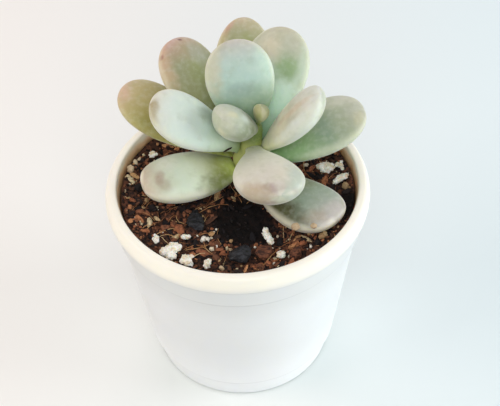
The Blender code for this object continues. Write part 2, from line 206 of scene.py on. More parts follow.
# The pot. One piece of off-white plastic, moulded with a thick rolled rim, a smooth band and a small
# step under it, a tapered wall and a stepped-in foot. Five drain holes are punched through its floor.
POT_SIDES = 160
POT_HEIGHT = RIM_HEIGHT
FOOT_RADIUS = 28.5            # the stepped-in foot
FOOT_HEIGHT = 8.0
FOOT_ROUND = 0.8
HEEL_RADIUS = 30.6            # the wall's lower end, just above the foot
HEEL_ROUND = 0.9
WALL_TOP = 56.0
WALL_TOP_RADIUS = 37.0
STEP_RISE = 0.7               # height of the small step under the band
BAND_RADIUS = 37.8
DRAFT = 0.2                   # the slight slope that lets the moulding leave its mould
RIM_LOW = 63.8
RIM_LOW_RADIUS = 39.2
RIM_LOW_ROUND = 1.0
RIM_RADIUS = 40.0
RIM_WIDEST = 66.2             # height where the rim is widest
RIM_SHOULDER = 2.0
MOUTH_RADIUS = 36.4
LIP_ROUND = 0.6
POT_FLOOR = 2.2
FLOOR_RADIUS = 26.4
FLOOR_DRAFT = 0.4
INNER_HEEL = (29.0, 9.6)      # radius and height where the inside narrows to the foot
INNER_THROAT = (35.6, 65.0)   # the same under the lip of the mouth
DRAIN_HOLES = 5
DRAIN_RADIUS = 3.0
DRAIN_CIRCLE = 16.0           # radius of the circle that the holes lie on
DRAIN_SIDES = 32
EDGE_ROUND = 0.22             # rounding of the moulding's remaining edges
ROUND_FROM = 24.0             # angle from which an edge is rounded, in degrees
# The whites hold painted light and shade: lighter towards the foot, greyer in the band under the rim, and
# the rim's cream is partly the plastic's own tint and partly painted light from above.
FOOT_WHITE_LIT = (245, 247, 246)
WALL_WHITE = (231, 233, 232)
BAND_WHITE_SHADED = (223, 225, 223)
RIM_CREAM_LIT = (251, 245, 230)
WHITE_FADE = (4.0, 30.0)      # heights between which one white turns into the next
BAND_FADE = (44.0, WALL_TOP)
CREAM_FADE = (RIM_LOW - 1.0, POT_HEIGHT - 2.0)
CLOUD = (222, 220, 210)       # faint uneven patches in the plastic
SHADE_LINES = (                   # painted shade lines in the creases and a painted contact shadow at the underside's edge: height, reach and strength
    (0.0, 1.1, 0.8), (FOOT_HEIGHT + 0.2, 0.9, 0.45), (WALL_TOP + 0.1, 1.0, 0.75), (RIM_LOW - 0.1, 1.1, 0.7),
)
SHADE_LINE_CORE = 0.1             # half width in which a shade line has its full strength
SHADE_LINE_GREY = (176, 178, 176)
# The brown film that watering leaves inside: colour, depths under the rim between which it sets in, and
# strength.
FILMS = (((228, 190, 138), 0.4, 2.4, 0.85), ((186, 144, 100), 2.2, 4.2, 0.9))
FILM_WAVER = 2.0              # how far the film's edge wanders up and down
FILM_SIDE = (MOUTH_RADIUS + 0.3, MOUTH_RADIUS - 0.5)         # radii between which the film sets in
FILM_FOOT = (WALL_TOP + 1.0, WALL_TOP + 3.0)


def arc(centre, across, up, start, end, steps):
    """Points of an ellipse in the radius-height plane, between two angles in degrees."""
    angles = [math.radians(start + (end - start) * k / steps) for k in range(steps + 1)]
    return [(centre[0] + across * math.cos(a), centre[1] + up * math.sin(a)) for a in angles]


def pot_outline():
    """Radius and height round the moulding, from the middle of its underside to that of its floor."""
    foot = [(0.0, 0.0)]
    foot += arc((FOOT_RADIUS - FOOT_ROUND, FOOT_ROUND), FOOT_ROUND, FOOT_ROUND, -90.0, 0.0, 5)
    foot.append((FOOT_RADIUS + DRAFT, FOOT_HEIGHT - DRAFT))
    heel = arc((HEEL_RADIUS - HEEL_ROUND, FOOT_HEIGHT + HEEL_ROUND), HEEL_ROUND, HEEL_ROUND, -90.0, 0.0, 6)
    step = [(WALL_TOP_RADIUS, WALL_TOP), (BAND_RADIUS, WALL_TOP + STEP_RISE)]
    step.append((BAND_RADIUS + DRAFT, RIM_LOW - DRAFT))
    roll = [(RIM_LOW_RADIUS, RIM_LOW), (RIM_RADIUS - DRAFT, RIM_LOW + RIM_LOW_ROUND)]
    shoulder_centre = (RIM_RADIUS - RIM_SHOULDER, RIM_WIDEST)
    shoulder = arc(shoulder_centre, RIM_SHOULDER, POT_HEIGHT - RIM_WIDEST, 0.0, 90.0, 12)
    lip = arc((MOUTH_RADIUS + LIP_ROUND, POT_HEIGHT - LIP_ROUND), LIP_ROUND, LIP_ROUND, 90.0, 180.0, 6)
    inside = [INNER_THROAT, INNER_HEEL, (FLOOR_RADIUS, FOOT_HEIGHT - FLOOR_DRAFT)]
    inside += [(FLOOR_RADIUS - FLOOR_DRAFT, POT_FLOOR), (0.0, POT_FLOOR)]
    return foot + heel + step + roll + shoulder + lip + inside


def turn(name, outline, sides):
    """A mesh turned from an outline whose two ends lie on the axis."""
    shape = bmesh.new()
    points = [shape.verts.new((radius * MM, 0.0, height * MM)) for radius, height in outline]
    line = [shape.edges.new(pair) for pair in zip(points, points[1:])]
    bmesh.ops.spin(shape, geom=points + line, axis=(0, 0, 1), cent=(0, 0, 0),
                   steps=sides, angle=2.0 * math.pi)
    bmesh.ops.remove_doubles(shape, verts=shape.verts[:], dist=0.00001)
    bmesh.ops.recalc_face_normals(shape, faces=shape.faces[:])
    mesh = bpy.data.meshes.new(name)
    shape.to_mesh(mesh)
    shape.free()
    return mesh


def add_piece(name, mesh, material, slot, *replaced):
    """Shows a mesh as a piece that rides with the pot and stands for CAD nodes."""
    mesh.shade_smooth()
    mesh.materials.clear()
    mesh.materials.append(material)
    piece = add_object(name, mesh)
    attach(piece, "root")
    if replaced:
        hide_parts(*replaced)
    return piece


def punched(mesh):
    """The pot's mesh with its drain holes cut through."""
    drill_mesh = bpy.data.meshes.new("drill")
    shape = bmesh.new()
    for k in range(DRAIN_HOLES):
        around = 2.0 * math.pi * (k + 0.5) / DRAIN_HOLES
        place = Vector((DRAIN_CIRCLE * math.cos(around), DRAIN_CIRCLE * math.sin(around), 0.0)) * MM
        radius = DRAIN_RADIUS * MM
        bmesh.ops.create_cone(shape, cap_ends=True, segments=DRAIN_SIDES, radius1=radius, radius2=radius,
                              depth=4.0 * POT_FLOOR * MM, matrix=Matrix.Translation(place))
    shape.to_mesh(drill_mesh)
    shape.free()
    drill = add_object("drill", drill_mesh)
    blank = add_object("blank", mesh)
    cut = blank.modifiers.new("drain holes", "BOOLEAN")
    cut.operation = "DIFFERENCE"
    cut.object = drill
    result = bpy.data.meshes.new_from_object(blank.evaluated_get(bpy.context.evaluated_depsgraph_get()))
    for thing in (drill, blank):
        bpy.data.objects.remove(thing)
    return result


def grain(made, size, detail=2.0, stretch=(1.0, 1.0, 1.0), shift=0.0):
    """Noise from 0 to 1 whose lumps measure about size millimetres, longer where stretch is above 1."""
    scales = [1.0 / (size * MM * s) for s in stretch]
    feeds = {"Vector": position(made), "Scale": scales, "Location": [shift] * 3}
    spread = node(made, "Mapping", feeds).outputs[0]
    return node(made, "TexNoise", {"Vector": spread, "Scale": 1.0, "Detail": detail}).outputs[0]


def faded(made, value, low, high, start=0.0, end=1.0):
    """The same as between, with low and high in millimetres."""
    return between(made, value, low * MM, high * MM, start, end)


def waver(made, size, reach, detail=3.0, shift=0.0):
    """Noise spread evenly over reach to both sides of nought."""
    feeds = {"Value": grain(made, size, detail, shift=shift), "To Min": -reach, "To Max": reach}
    return node(made, "MapRange", feeds).outputs[0]


def flecked(made, colour, fleck, size, low, high, most=1.0, detail=3.0, shift=0.0):
    """Flecks of a screen colour over a colour, where noise of that size passes from low to high."""
    share = between(made, grain(made, size, detail, shift=shift), low, high, 0.0, most)
    return mixed(made, share, colour, paint(*fleck))


def away_from(made, x, y):
    """Distance, seen from above, from the piece's points to a place given in millimetres."""
    flat = node(made, "CombineXYZ", {0: along_axis(made, 0), 1: along_axis(made, 1)}).outputs[0]
    return computed(made, "DISTANCE", flat, (x * MM, y * MM, 0.0), kind="VectorMath", result="Value")


def relief(made, size, depth, detail=3.0, shift=0.0):
    """Bumps of that size and depth in millimetres, worn as the surface's normal."""
    feeds = {"Height": grain(made, size, detail, shift=shift), "Distance": depth * MM, "Strength": 1.0}
    wear(made, "Normal", node(made, "Bump", feeds).outputs[0])


def pot_plastic():
    """Satin plastic, cream at the rim, with painted light and shade by height and in the creases, and a
    brown film inside above the soil.
    """
    made = new_finish("pot_plastic", 0.3, Subsurface_Weight=0.4, Subsurface_Scale=0.004,
                      Subsurface_Radius=(1.0, 0.9, 0.7), Specular_IOR_Level=0.45)
    z = along_axis(made, 2)
    colour = paint(*FOOT_WHITE_LIT)
    for heights, upper in ((WHITE_FADE, WALL_WHITE), (BAND_FADE, BAND_WHITE_SHADED), (CREAM_FADE, RIM_CREAM_LIT)):
        colour = mixed(made, faded(made, z, *heights), colour, paint(*upper))
    colour = flecked(made, colour, CLOUD, 22.0, 0.35, 0.75, 0.12, detail=2.0)
    # painted shade: grey lines in the creases, and a contact shadow along the underside's edge
    for height, reach, strength in SHADE_LINES:
        away = computed(made, "ABSOLUTE", computed(made, "SUBTRACT", z, height * MM))
        shade_line = faded(made, away, reach, SHADE_LINE_CORE, 0.0, strength)
        colour = mixed(made, shade_line, colour, paint(*SHADE_LINE_GREY))
    inner = faded(made, away_from(made, 0.0, 0.0), *FILM_SIDE)
    inner = computed(made, "MULTIPLY", inner, faded(made, z, *FILM_FOOT))
    uneven = computed(made, "ADD", z, waver(made, 5.0, FILM_WAVER * MM, detail=4.0))
    for film_colour, top, bottom, strength in FILMS:
        film = faded(made, uneven, POT_HEIGHT - top, POT_HEIGHT - bottom, 0.0, strength)
        colour = mixed(made, computed(made, "MULTIPLY", film, inner), colour, paint(*film_colour))
    wear(made, "Base Color", colour)
    wear(made, "Roughness", between(made, grain(made, 9.0), 0.3, 0.7, 0.3, 0.4))
    relief(made, 7.0, 0.03, detail=2.0)
    return made


pot_mesh = punched(turn("pot_body", pot_outline(), POT_SIDES))
pot = add_piece("pot_body", pot_mesh, pot_plastic(), "pot_plastic", "pot")
rounding = pot.modifiers.new("rounding", "BEVEL")
rounding.width = EDGE_ROUND * MM
rounding.segments = 2
rounding.limit_method = "ANGLE"
rounding.angle_limit = math.radians(ROUND_FROM)


# The bed of potting soil. Dark peat fills the pot to a little under its rim and dips in front of the
# stem. Its top follows the soil's solid, with fine crumbly relief, and closes up round the stem.
BED_GRID = 0.62               # distance between the points of its top
BED_MARGIN = 0.25             # gap left at the pot's wall
BED_SIDES = 160               # points round its edge
BED_SHRINK = 0.995            # heights are read a little further in, so that the edge stays on the solid
COARSE_RELIEF = (0.6, 1.6)    # depth and size of the larger crumbs
FINE_RELIEF = (0.3, 0.6)
HEAP_START = 31.5             # radius outside which the soil is heaped against the wall
HEAP_HEIGHT = 1.1
STEM_X = 2.5                  # where the stem stands
STEM_Y = 6.0
STEM_RADIUS = 3.3
STEM_HOLE = 3.65
HOLE_MARGIN = 0.3             # how far from the stem's hole the soil's height is read
HOLLOWS = ((1.0, -11.2, 11.5), (33.5, -8.0, 6.5))     # hollows by the stem and the wall, darkened with painted shade: x, y and reach
HOLLOW_CORE = 0.65            # share of a hollow's reach in which its painted shade is darkest
HOLLOW_SHADE_BLACK = (14, 12, 13)
PEAT = (72, 49, 40)
PEAT_RED = (112, 70, 52)
PEAT_BLACK = (24, 20, 21)


def solid_tree(*names):
    """A search tree over CAD solids, in metres."""
    points, faces = [], []
    for name in names:
        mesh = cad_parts[name].data
        first = len(points)
        points += [corner.co for corner in mesh.vertices]
        faces += [tuple(first + index for index in face.vertices) for face in mesh.polygons]
    return BVHTree.FromPolygons(points, faces)


soil_tree = solid_tree("soil")
soil_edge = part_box("soil")[1].z / MM
bed_radius = INNER_THROAT[0] - BED_MARGIN


def soil_top(x, y):
    """Height of the soil's solid in millimetres, carried level across the stem's hole."""
    away = Vector((x - STEM_X, y - STEM_Y))
    clear = STEM_HOLE + HOLE_MARGIN
    if away.length < clear:
        outward = away.normalized() if away.length > 0.0 else Vector((0.0, -1.0))
        x = STEM_X + outward.x * clear
        y = STEM_Y + outward.y * clear
    hit = soil_tree.ray_cast(Vector((x, y, 2.0 * POT_HEIGHT)) * MM, Vector((0.0, 0.0, -1.0)))[0]
    return hit.z / MM if hit else soil_edge


def bed_height(x, y):
    """Height of the dressed soil: the solid's top with crumbly relief, heaped a little at the wall."""
    place = Vector((x, y, 0.0))
    coarse = COARSE_RELIEF[0] * noise.noise(place / COARSE_RELIEF[1])
    fine = FINE_RELIEF[0] * noise.noise(place / FINE_RELIEF[1])
    heap = HEAP_HEIGHT * max(0.0, (place.length - HEAP_START) / (bed_radius - HEAP_START))
    return soil_top(x, y) + coarse + fine + heap


def new_mesh(name, corners, faces):
    """A mesh from corners in millimetres."""
    mesh = bpy.data.meshes.new(name)
    mesh.from_pydata([corner * MM for corner in corners], [], faces)
    return mesh


def soil_bed():
    """The soil's mesh: a crumbly top on a plain block."""
    edge = [2.0 * math.pi * k / BED_SIDES for k in range(BED_SIDES)]
    points = [(bed_radius * math.cos(a), bed_radius * math.sin(a)) for a in edge]
    rows = int(bed_radius / BED_GRID) + 1
    for row in range(-rows, rows + 1):
        for column in range(-rows, rows + 1):
            x, y = BED_GRID * (column + 0.5 * (row % 2)), BED_GRID * row
            if math.hypot(x, y) < bed_radius - 0.5 * BED_GRID:
                points.append((x, y))
    loop = [(k, (k + 1) % BED_SIDES) for k in range(BED_SIDES)]
    _, _, triangles, origins, _, _ = delaunay_2d_cdt([Vector(p) for p in points], loop, [], 0, 1e-6)
    faces = [tuple(origins[index][0] for index in triangle) for triangle in triangles]
    corners = [Vector((x, y, bed_height(x * BED_SHRINK, y * BED_SHRINK))) for x, y in points]
    for radius, height in ((INNER_HEEL[0] - BED_MARGIN, INNER_HEEL[1]),
                           (FLOOR_RADIUS - FLOOR_DRAFT - 2.0 * BED_MARGIN, POT_FLOOR + BED_MARGIN)):
        ring = len(corners)
        corners += [Vector((radius * math.cos(a), radius * math.sin(a), height)) for a in edge]
        upper = 0 if ring == len(points) else ring - BED_SIDES
        faces += [(upper + b, upper + a, ring + a, ring + b) for a, b in loop]
    faces.append(tuple(ring + k for k in reversed(range(BED_SIDES))))
    return new_mesh("soil_bed", corners, faces)


def hollowed(x, y, share=1.0):
    """True inside that share of a hollow's reach."""
    return any(math.hypot(x - a, y - b) < share * reach for a, b, reach in HOLLOWS)


def peat_finish():
    """Dark brown peat, redder in patches, with painted shade almost black in the hollows."""
    made = new_finish("peat", 0.92, Specular_IOR_Level=0.2)
    colour = flecked(made, paint(*PEAT), PEAT_RED, 3.4, 0.48, 0.66)
    colour = flecked(made, colour, PEAT_BLACK, 1.1, 0.5, 0.6)
    # painted shade: the bed is darkened nearly to black in the hollows
    for x, y, reach in HOLLOWS:
        shade = faded(made, away_from(made, x, y), reach, HOLLOW_CORE * reach, 0.0, 0.95)
        colour = mixed(made, shade, colour, paint(*HOLLOW_SHADE_BLACK))
    wear(made, "Base Color", colour)
    relief(made, 0.35, 0.2, detail=4.0)
    return made


add_piece("soil_bed", soil_bed(), peat_finish(), "soil", "soil")


# The loose crumbs of the potting mix. Peat, shreds of bark and grit lie over the bed in a thick layer,
# from specks under half a millimetre to chips of 4 mm, fewer in the hollows and darker there with painted
# shade.
CRUMB_SEED = 21
CRUMB_CLASSES = (             # count, least and most half size, detail, how long and how flat they are
    (110, 0.9, 1.6, 3, 1.3, 0.7), (260, 0.7, 1.3, 2, 2.1, 0.32), (620, 0.5, 0.9, 2, 1.3, 0.75),
    (2500, 0.28, 0.5, 1, 1.4, 0.8),
)
SEEN_CHIP_FORM = (3, 1.25, 0.75)       # detail, length and flatness of the chips that have a set place
SEEN_CHIPS = (                # x, y, half size, tone
    (6.6, -20.6, 0.9, 0.62), (15.3, -22.6, 1.2, 0.7), (18.5, -23.8, 1.2, 0.62), (-17.6, -12.8, 1.7, 0.6),
    (-10.5, -23.2, 1.6, 0.6), (-3.8, -29.4, 1.4, 0.66), (-26.4, -16.0, 1.5, 0.55), (-22.0, -13.0, 1.7, 0.58),
    (23.4, -20.5, 1.3, 0.68), (29.0, -14.2, 1.3, 0.6), (-21.4, -10.8, 1.7, 0.02), (-25.7, -4.5, 1.8, 0.04),
    (11.7, -20.2, 1.5, 0.02), (22.6, -23.4, 1.2, 0.03), (-29.6, -6.6, 1.3, 0.62), (-13.0, -19.8, 1.4, 0.05),
    (18.8, -20.4, 1.2, 0.1), (-7.0, -26.0, 1.4, 0.2), (-30.0, 4.0, 1.5, 0.1), (28.5, 2.0, 1.3, 0.55),
    (-26.8, -11.0, 1.3, 0.72), (-19.0, -18.4, 1.2, 0.1), (2.8, -21.6, 1.2, 0.85), (1.4, -18.9, 0.9, 0.8),
)
CRUMB_TONES = (               # tone from 0 to 1, and its colour
    (0.0, (28, 27, 30)), (0.15, (52, 40, 37)), (0.3, (108, 72, 54)), (0.5, (144, 93, 68)),
    (0.66, (170, 106, 74)), (0.8, (194, 134, 92)), (0.92, (210, 174, 124)), (1.0, (230, 212, 174)),
)
TONE_SHARES = (               # running share of the crumbs, least and most tone
    (0.34, 0.0, 0.18), (0.58, 0.2, 0.46), (0.82, 0.48, 0.66), (0.95, 0.66, 0.8), (1.0, 0.84, 1.0),
)
CHIP_CUTS = 6
CHIP_FLATS = (0.55, 0.85)     # how near the middle a broken flat may come
CHIP_ROUGH = 0.22             # how bumpy the skin of a chip is
CRUMB_RISE = 0.3              # how far a crumb's middle lies over the bed, in half sizes
CRUMB_CLEARANCE = 1.1         # how far it stays off plant and lumps, in half sizes
CRUMB_SPREADS = ((0.75, 1.2), (0.6, 1.0), (0.75, 1.15))      # how its length, width and height vary
CRUMB_TILT = 0.6              # how far it may lie askew, in radians
CLUMP_SIZE = 4.5              # size of the darker and lighter patches
CLUMP_STRENGTH = 1.1
CLUMP_LEVEL = 9.0             # level of the noise that they follow
HOLLOW_LOSS = 0.85            # share of the crumbs that is missing in a hollow
HOLLOW_SHADE_TONE = 0.15            # share of its tone that a crumb keeps there, under painted shade

above_soil = solid_tree(*(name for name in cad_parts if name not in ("pot", "soil")))


def ball(detail):
    """Corners and triangles of a round blank of radius 1."""
    shape = bmesh.new()
    bmesh.ops.create_icosphere(shape, subdivisions=detail, radius=1.0)
    corners = [corner.co.copy() for corner in shape.verts]
    faces = [tuple(corner.index for corner in face.verts) for face in shape.faces]
    shape.free()
    return corners, faces


def chip(blank, sizes, turned, draw, cuts=CHIP_CUTS, rough=CHIP_ROUGH):
    """Corners of a broken crumb: a blank with random flats and rough skin, stretched and turned."""
    flats = []
    for _ in range(cuts):
        across = Vector((draw.gauss(0, 1), draw.gauss(0, 1), draw.gauss(0, 1))).normalized()
        flats.append((across, draw.uniform(*CHIP_FLATS)))
    shift = Vector([draw.uniform(0, 50) for _ in range(3)])
    corners = []
    for corner in blank:
        place = corner * (1.0 + rough * noise.noise(corner * 1.8 + shift))
        for across, reach in flats:
            place -= across * max(0.0, place.dot(across) - reach)
        corners.append(turned @ Vector((place.x * sizes[0], place.y * sizes[1], place.z * sizes[2])))
    return corners


def chip_heap(name, chips):
    """One mesh of many chips: each has a middle, corners, faces and a tone from 0 to 1."""
    corners, faces, tones = [], [], []
    for middle, shaped, chip_faces, tone in chips:
        first = len(corners)
        corners += [middle + corner for corner in shaped]
        faces += [tuple(first + index for index in face) for face in chip_faces]
        tones += [tone] * len(shaped)
    mesh = new_mesh(name, corners, faces)
    mesh.attributes.new("tone", "FLOAT", "POINT").data.foreach_set("value", tones)
    return mesh


def strewn_place(draw, inset):
    """A random place on the soil, at least inset from its edge."""
    reach = (bed_radius - inset) * math.sqrt(draw.random())
    heading = draw.uniform(0.0, 2.0 * math.pi)
    return reach * math.cos(heading), reach * math.sin(heading)


def ramp(made, value, stops):
    """A colour ramp through stops of place and screen colour."""
    band = node(made, "ValToRGB", {0: value})
    elements = band.color_ramp.elements
    for element, (place, colour) in zip(elements, (stops[0], stops[-1])):
        element.position = place
        element.color = paint(*colour)
    for place, colour in stops[1:-1]:
        elements.new(place).color = paint(*colour)
    return band.outputs[0]


def soil_crumbs():
    """All crumbs as one mesh, each sunk a little into the bed and clear of plant and lumps."""
    draw = random.Random(CRUMB_SEED)
    strewn = [(*seen, *SEEN_CHIP_FORM) for seen in SEEN_CHIPS]
    for count, least, most, *form in CRUMB_CLASSES:
        for _ in range(count):
            size = draw.uniform(least, most)
            place = strewn_place(draw, 1.2 * size)
            pick = draw.random()
            low, high = next((low, high) for share, low, high in TONE_SHARES if pick <= share)
            strewn.append((*place, size, draw.uniform(low, high), *form))
    blanks = {detail: ball(detail) for detail in (1, 2, 3)}
    kept = []
    for x, y, size, tone, detail, length, flatness in strewn:
        blank, blank_faces = blanks[detail]
        stretches = zip((length, 1.0, flatness), CRUMB_SPREADS)
        sizes = [size * share * draw.uniform(*spread) for share, spread in stretches]
        tilt = [draw.uniform(-CRUMB_TILT, CRUMB_TILT) for _ in range(2)]
        turned = Euler((*tilt, draw.uniform(0, 6.3)))
        middle = Vector((x, y, bed_height(x, y) + CRUMB_RISE * size))
        nearest = above_soil.find_nearest(middle * MM)[3] / MM
        in_hollow = hollowed(x, y, draw.uniform(HOLLOW_CORE, 1.0))
        if nearest < CRUMB_CLEARANCE * size or (in_hollow and draw.random() < HOLLOW_LOSS):
            continue
        tone *= 1.0 + CLUMP_STRENGTH * noise.noise(Vector((x, y, CLUMP_LEVEL)) / CLUMP_SIZE)
        # painted shade on the crumbs in a hollow
        if in_hollow:
            tone *= HOLLOW_SHADE_TONE
        kept.append((middle, chip(blank, sizes, turned.to_matrix(), draw), blank_faces, tone))
    return chip_heap("soil_crumbs", kept)


def own_colour(made, stops):
    """The colour that each chip's own tone has among the stops."""
    return ramp(made, node(made, "Attribute", attribute_name="tone").outputs["Fac"], stops)


def crumb_finish():
    """Each crumb in its own brown, with a mottled, matt skin."""
    made = new_finish("crumbs", 0.9, Specular_IOR_Level=0.22)
    colour = own_colour(made, CRUMB_TONES)
    wear(made, "Base Color", flecked(made, colour, PEAT_BLACK, 0.8, 0.42, 0.66, 0.55, detail=4.0))
    relief(made, 0.25, 0.12)
    return made


crumbs = add_piece("soil_crumbs", soil_crumbs(), crumb_finish(), "soil")
crumbs.data.shade_flat()


# The larger lumps in the mix: white perlite popped like tiny popcorn, reddish-brown bark chips and
# blue-black charcoal. Each lies pressed into the soil where its solid lies.
PERLITE_LUMPS = {             # number of bubbles it has popped into, seed
    "perlite_big": (7, 3), "perlite_round": (6, 5), "perlite_tall": (5, 7), "perlite_hooked": (5, 9),
    "perlite_front": (6, 11), "perlite_left": (4, 13), "perlite_middle": (5, 15), "perlite_right": (9, 17),
    "perlite_right_small": (5, 19), "perlite_right_long": (6, 21), "perlite_far_left": (4, 23),
}
PERLITE_FULL = 1.2            # its bubbles stand out a little past the solid
PERLITE_CORE = 0.48           # the core and the bubbles are measured in half sizes of the grain
BUBBLE_SIZES = (0.24, 0.55)
BUBBLE_REACH = (0.9, 1.08)
PERLITE_WHITE = (253, 251, 243)
PERLITE_CREAM = (232, 216, 186)
PERLITE_STAIN = (150, 112, 80)
STAIN_FADE = (64.2, 63.0)     # heights between which the soil's brown stains a grain
CHIPPED_LUMPS = {             # seed
    "bark_front": 31, "bark_right": 33, "charcoal_front": 35, "charcoal_left": 37,
}
CHIPPED_LOOKS = {             # material's name, light and dark tone, roughness
    "bark": ("bark_chip", (122, 76, 54), (58, 36, 29), 0.85),
    "charcoal": ("charcoal_lump", (52, 53, 58), (18, 18, 21), 0.5),
}
CHIPPED_FULL = 1.12           # they start a little past the solid, because chipping takes some off


def lump_frame(name):
    """Middle, half sizes along its own axes and turn of a lump's solid, in millimetres."""
    places = [corner.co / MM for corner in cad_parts[name].data.vertices]
    low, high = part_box(name)
    middle = (low + high) / (2.0 * MM)
    spread_x = sum((p.x - middle.x) ** 2 - (p.y - middle.y) ** 2 for p in places)
    spread_xy = sum(2.0 * (p.x - middle.x) * (p.y - middle.y) for p in places)
    heading = 0.5 * math.atan2(spread_xy, spread_x)
    along = Vector((math.cos(heading), math.sin(heading), 0.0))
    across = Vector((-along.y, along.x, 0.0))
    half_long = max(abs((p - middle).dot(along)) for p in places)
    half_wide = max(abs((p - middle).dot(across)) for p in places)
    return middle, (half_long, half_wide, 0.5 * (high.z - low.z) / MM), heading


def popped(blank, sizes, bubbles, seed):
    """Corners of a perlite grain: round bubbles grown together, with a pitted skin."""
    draw = random.Random(seed)
    heads = []
    for _ in range(bubbles):
        side = Vector((draw.gauss(0, 1), draw.gauss(0, 1), draw.gauss(0, 0.8))).normalized()
        radius = draw.uniform(*BUBBLE_SIZES)
        heads.append((side * (draw.uniform(*BUBBLE_REACH) - radius), radius))
    shift = Vector((seed, 2.0 * seed, 0.0))
    corners = []
    for corner in blank:
        reach = PERLITE_CORE
        for centre, radius in heads:
            ahead = corner.dot(centre)
            inside = ahead * ahead - centre.length_squared + radius * radius
            if inside > 0.0:
                reach = max(reach, ahead + math.sqrt(inside))
        reach += 0.2 * noise.noise(corner * 3.5 + shift) + 0.12 * noise.noise(corner * 9.0 + shift)
        corners.append(Vector((corner.x * sizes[0], corner.y * sizes[1], corner.z * sizes[2])) * reach)
    return corners


def perlite_finish():
    """Chalky off-white, creamier in the pits and stained brown low down."""
    made = new_finish("perlite_white", 0.85, Subsurface_Weight=0.15, Subsurface_Scale=0.001,
                      Specular_IOR_Level=0.25)
    colour = flecked(made, paint(*PERLITE_WHITE), PERLITE_CREAM, 1.6, 0.42, 0.68)
    low = faded(made, along_axis(made, 2), *STAIN_FADE, 0.0, 0.75)
    wear(made, "Base Color", mixed(made, low, colour, paint(*PERLITE_STAIN)))
    relief(made, 0.4, 0.16, detail=4.0)
    return made


def chipped_finish(name, base, dark, roughness):
    """Broken bark or charcoal: a rough skin in two tones."""
    made = new_finish(name, roughness, Specular_IOR_Level=0.35)
    streaks = grain(made, 0.9, detail=4.0, stretch=(2.2, 1.0, 0.7))
    wear(made, "Base Color", mixed(made, between(made, streaks, 0.4, 0.65), paint(*base), paint(*dark)))
    relief(made, 0.45, 0.25, detail=4.0)
    return made


def add_lump(name, corners, material, slot):
    """Sets a lump's corners on its solid's place and shows it."""
    middle, _, heading = lump_frame(name)
    turned = Matrix.Rotation(heading, 3, "Z")
    mesh = new_mesh(name + "_grain", [middle + turned @ corner for corner in corners], fine_faces)
    add_piece(name + "_grain", mesh, material, slot, name)


def chipped(half_sizes, seed):
    """Corners of a bark chip or a charcoal lump: broken all round, with a bumpy skin."""
    wider = [CHIPPED_FULL * size for size in half_sizes]
    shaped = chip(fine_blank, wider, Matrix.Identity(3), random.Random(seed), cuts=9, rough=0.35)
    return [corner * (1.0 + 0.1 * noise.noise(corner * 1.6) + 0.05 * noise.noise(corner * 5.0))
            for corner in shaped]


fine_blank, fine_faces = ball(5)
perlite_white = perlite_finish()
for lump_name, (bubbles, seed) in PERLITE_LUMPS.items():
    _, half_sizes, _ = lump_frame(lump_name)
    half_sizes = [PERLITE_FULL * size for size in half_sizes]
    add_lump(lump_name, popped(fine_blank, half_sizes, bubbles, seed), perlite_white, "perlite")

chipped_skins = {kind: chipped_finish(*look) for kind, look in CHIPPED_LOOKS.items()}
for lump_name, seed in CHIPPED_LUMPS.items():
    kind = lump_name.split("_")[0]
    _, half_sizes, _ = lump_frame(lump_name)
    add_lump(lump_name, chipped(half_sizes, seed), chipped_skins[kind], kind)


# The small white and tan grains scattered in the mix: bits of perlite under 2 mm. The ones that stand
# out lie where they were seen, and a seeded rule strews the rest.
SEEN_GRAINS = (               # x, y, half size, tone
    (-7.7, -14.8, 0.5, 0.9), (-6.9, -13.9, 0.4, 0.9), (-8.4, -17.0, 0.45, 0.8), (-7.0, -20.6, 0.55, 0.95),
    (-8.2, -21.7, 0.75, 0.75), (-3.0, -21.6, 0.7, 0.45), (-2.6, -18.9, 0.6, 0.3), (4.3, -21.3, 0.5, 0.9),
    (20.5, -23.4, 0.5, 0.95), (26.7, -16.7, 0.5, 0.9), (14.0, -26.1, 0.4, 0.8), (9.5, -28.9, 0.45, 0.9),
    (-30.3, 15.0, 0.8, 0.6), (-27.5, -1.7, 0.8, 0.3), (-28.7, -5.0, 0.7, 0.25), (21.5, 11.1, 0.8, 0.8),
    (33.0, 0.4, 1.0, 0.35), (-32.6, 10.1, 1.1, 0.55), (-31.4, 13.3, 0.9, 0.7), (-10.8, -17.6, 0.8, 0.95),
    (-9.4, -17.9, 0.7, 0.9), (-22.4, -26.0, 0.9, 0.45), (-5.6, -30.6, 0.8, 0.5), (24.0, -20.5, 0.9, 0.3),
)
STREWN_GRAINS = 90
GRAIN_SEED = 5
GRAIN_SIZES = (0.16, 0.42)
GRAIN_SPREAD = (0.75, 1.25)   # how each of its sizes varies
GRAIN_RISE = 0.7              # how far a grain's middle lies over the bed, in half sizes
GRAIN_STAIN = (150, 116, 84)
GRAIN_TONES = ((0.0, (134, 112, 82)), (0.3, (168, 136, 98)), (0.7, (222, 206, 176)), (1.0, (246, 243, 234)))


def white_grains():
    """Seen and strewn grains as one mesh."""
    draw = random.Random(GRAIN_SEED)
    places = list(SEEN_GRAINS)
    while len(places) < len(SEEN_GRAINS) + STREWN_GRAINS:
        x, y = strewn_place(draw, 1.0)
        if not hollowed(x, y):
            places.append((x, y, draw.uniform(*GRAIN_SIZES), draw.uniform(0.2, 1.0)))
    blank, blank_faces = ball(3)
    kept = []
    for x, y, size, tone in places:
        sizes = [size * draw.uniform(*GRAIN_SPREAD) for _ in range(3)]
        turned = Euler([draw.uniform(0, 6.3) for _ in range(3)]).to_matrix()
        middle = Vector((x, y, bed_height(x, y) + GRAIN_RISE * size))
        if above_soil.find_nearest(middle * MM)[3] / MM >= size:
            shaped = chip(blank, sizes, turned, draw, cuts=3, rough=0.5)
            kept.append((middle, shaped, blank_faces, tone))
    return chip_heap("small_grains", kept)


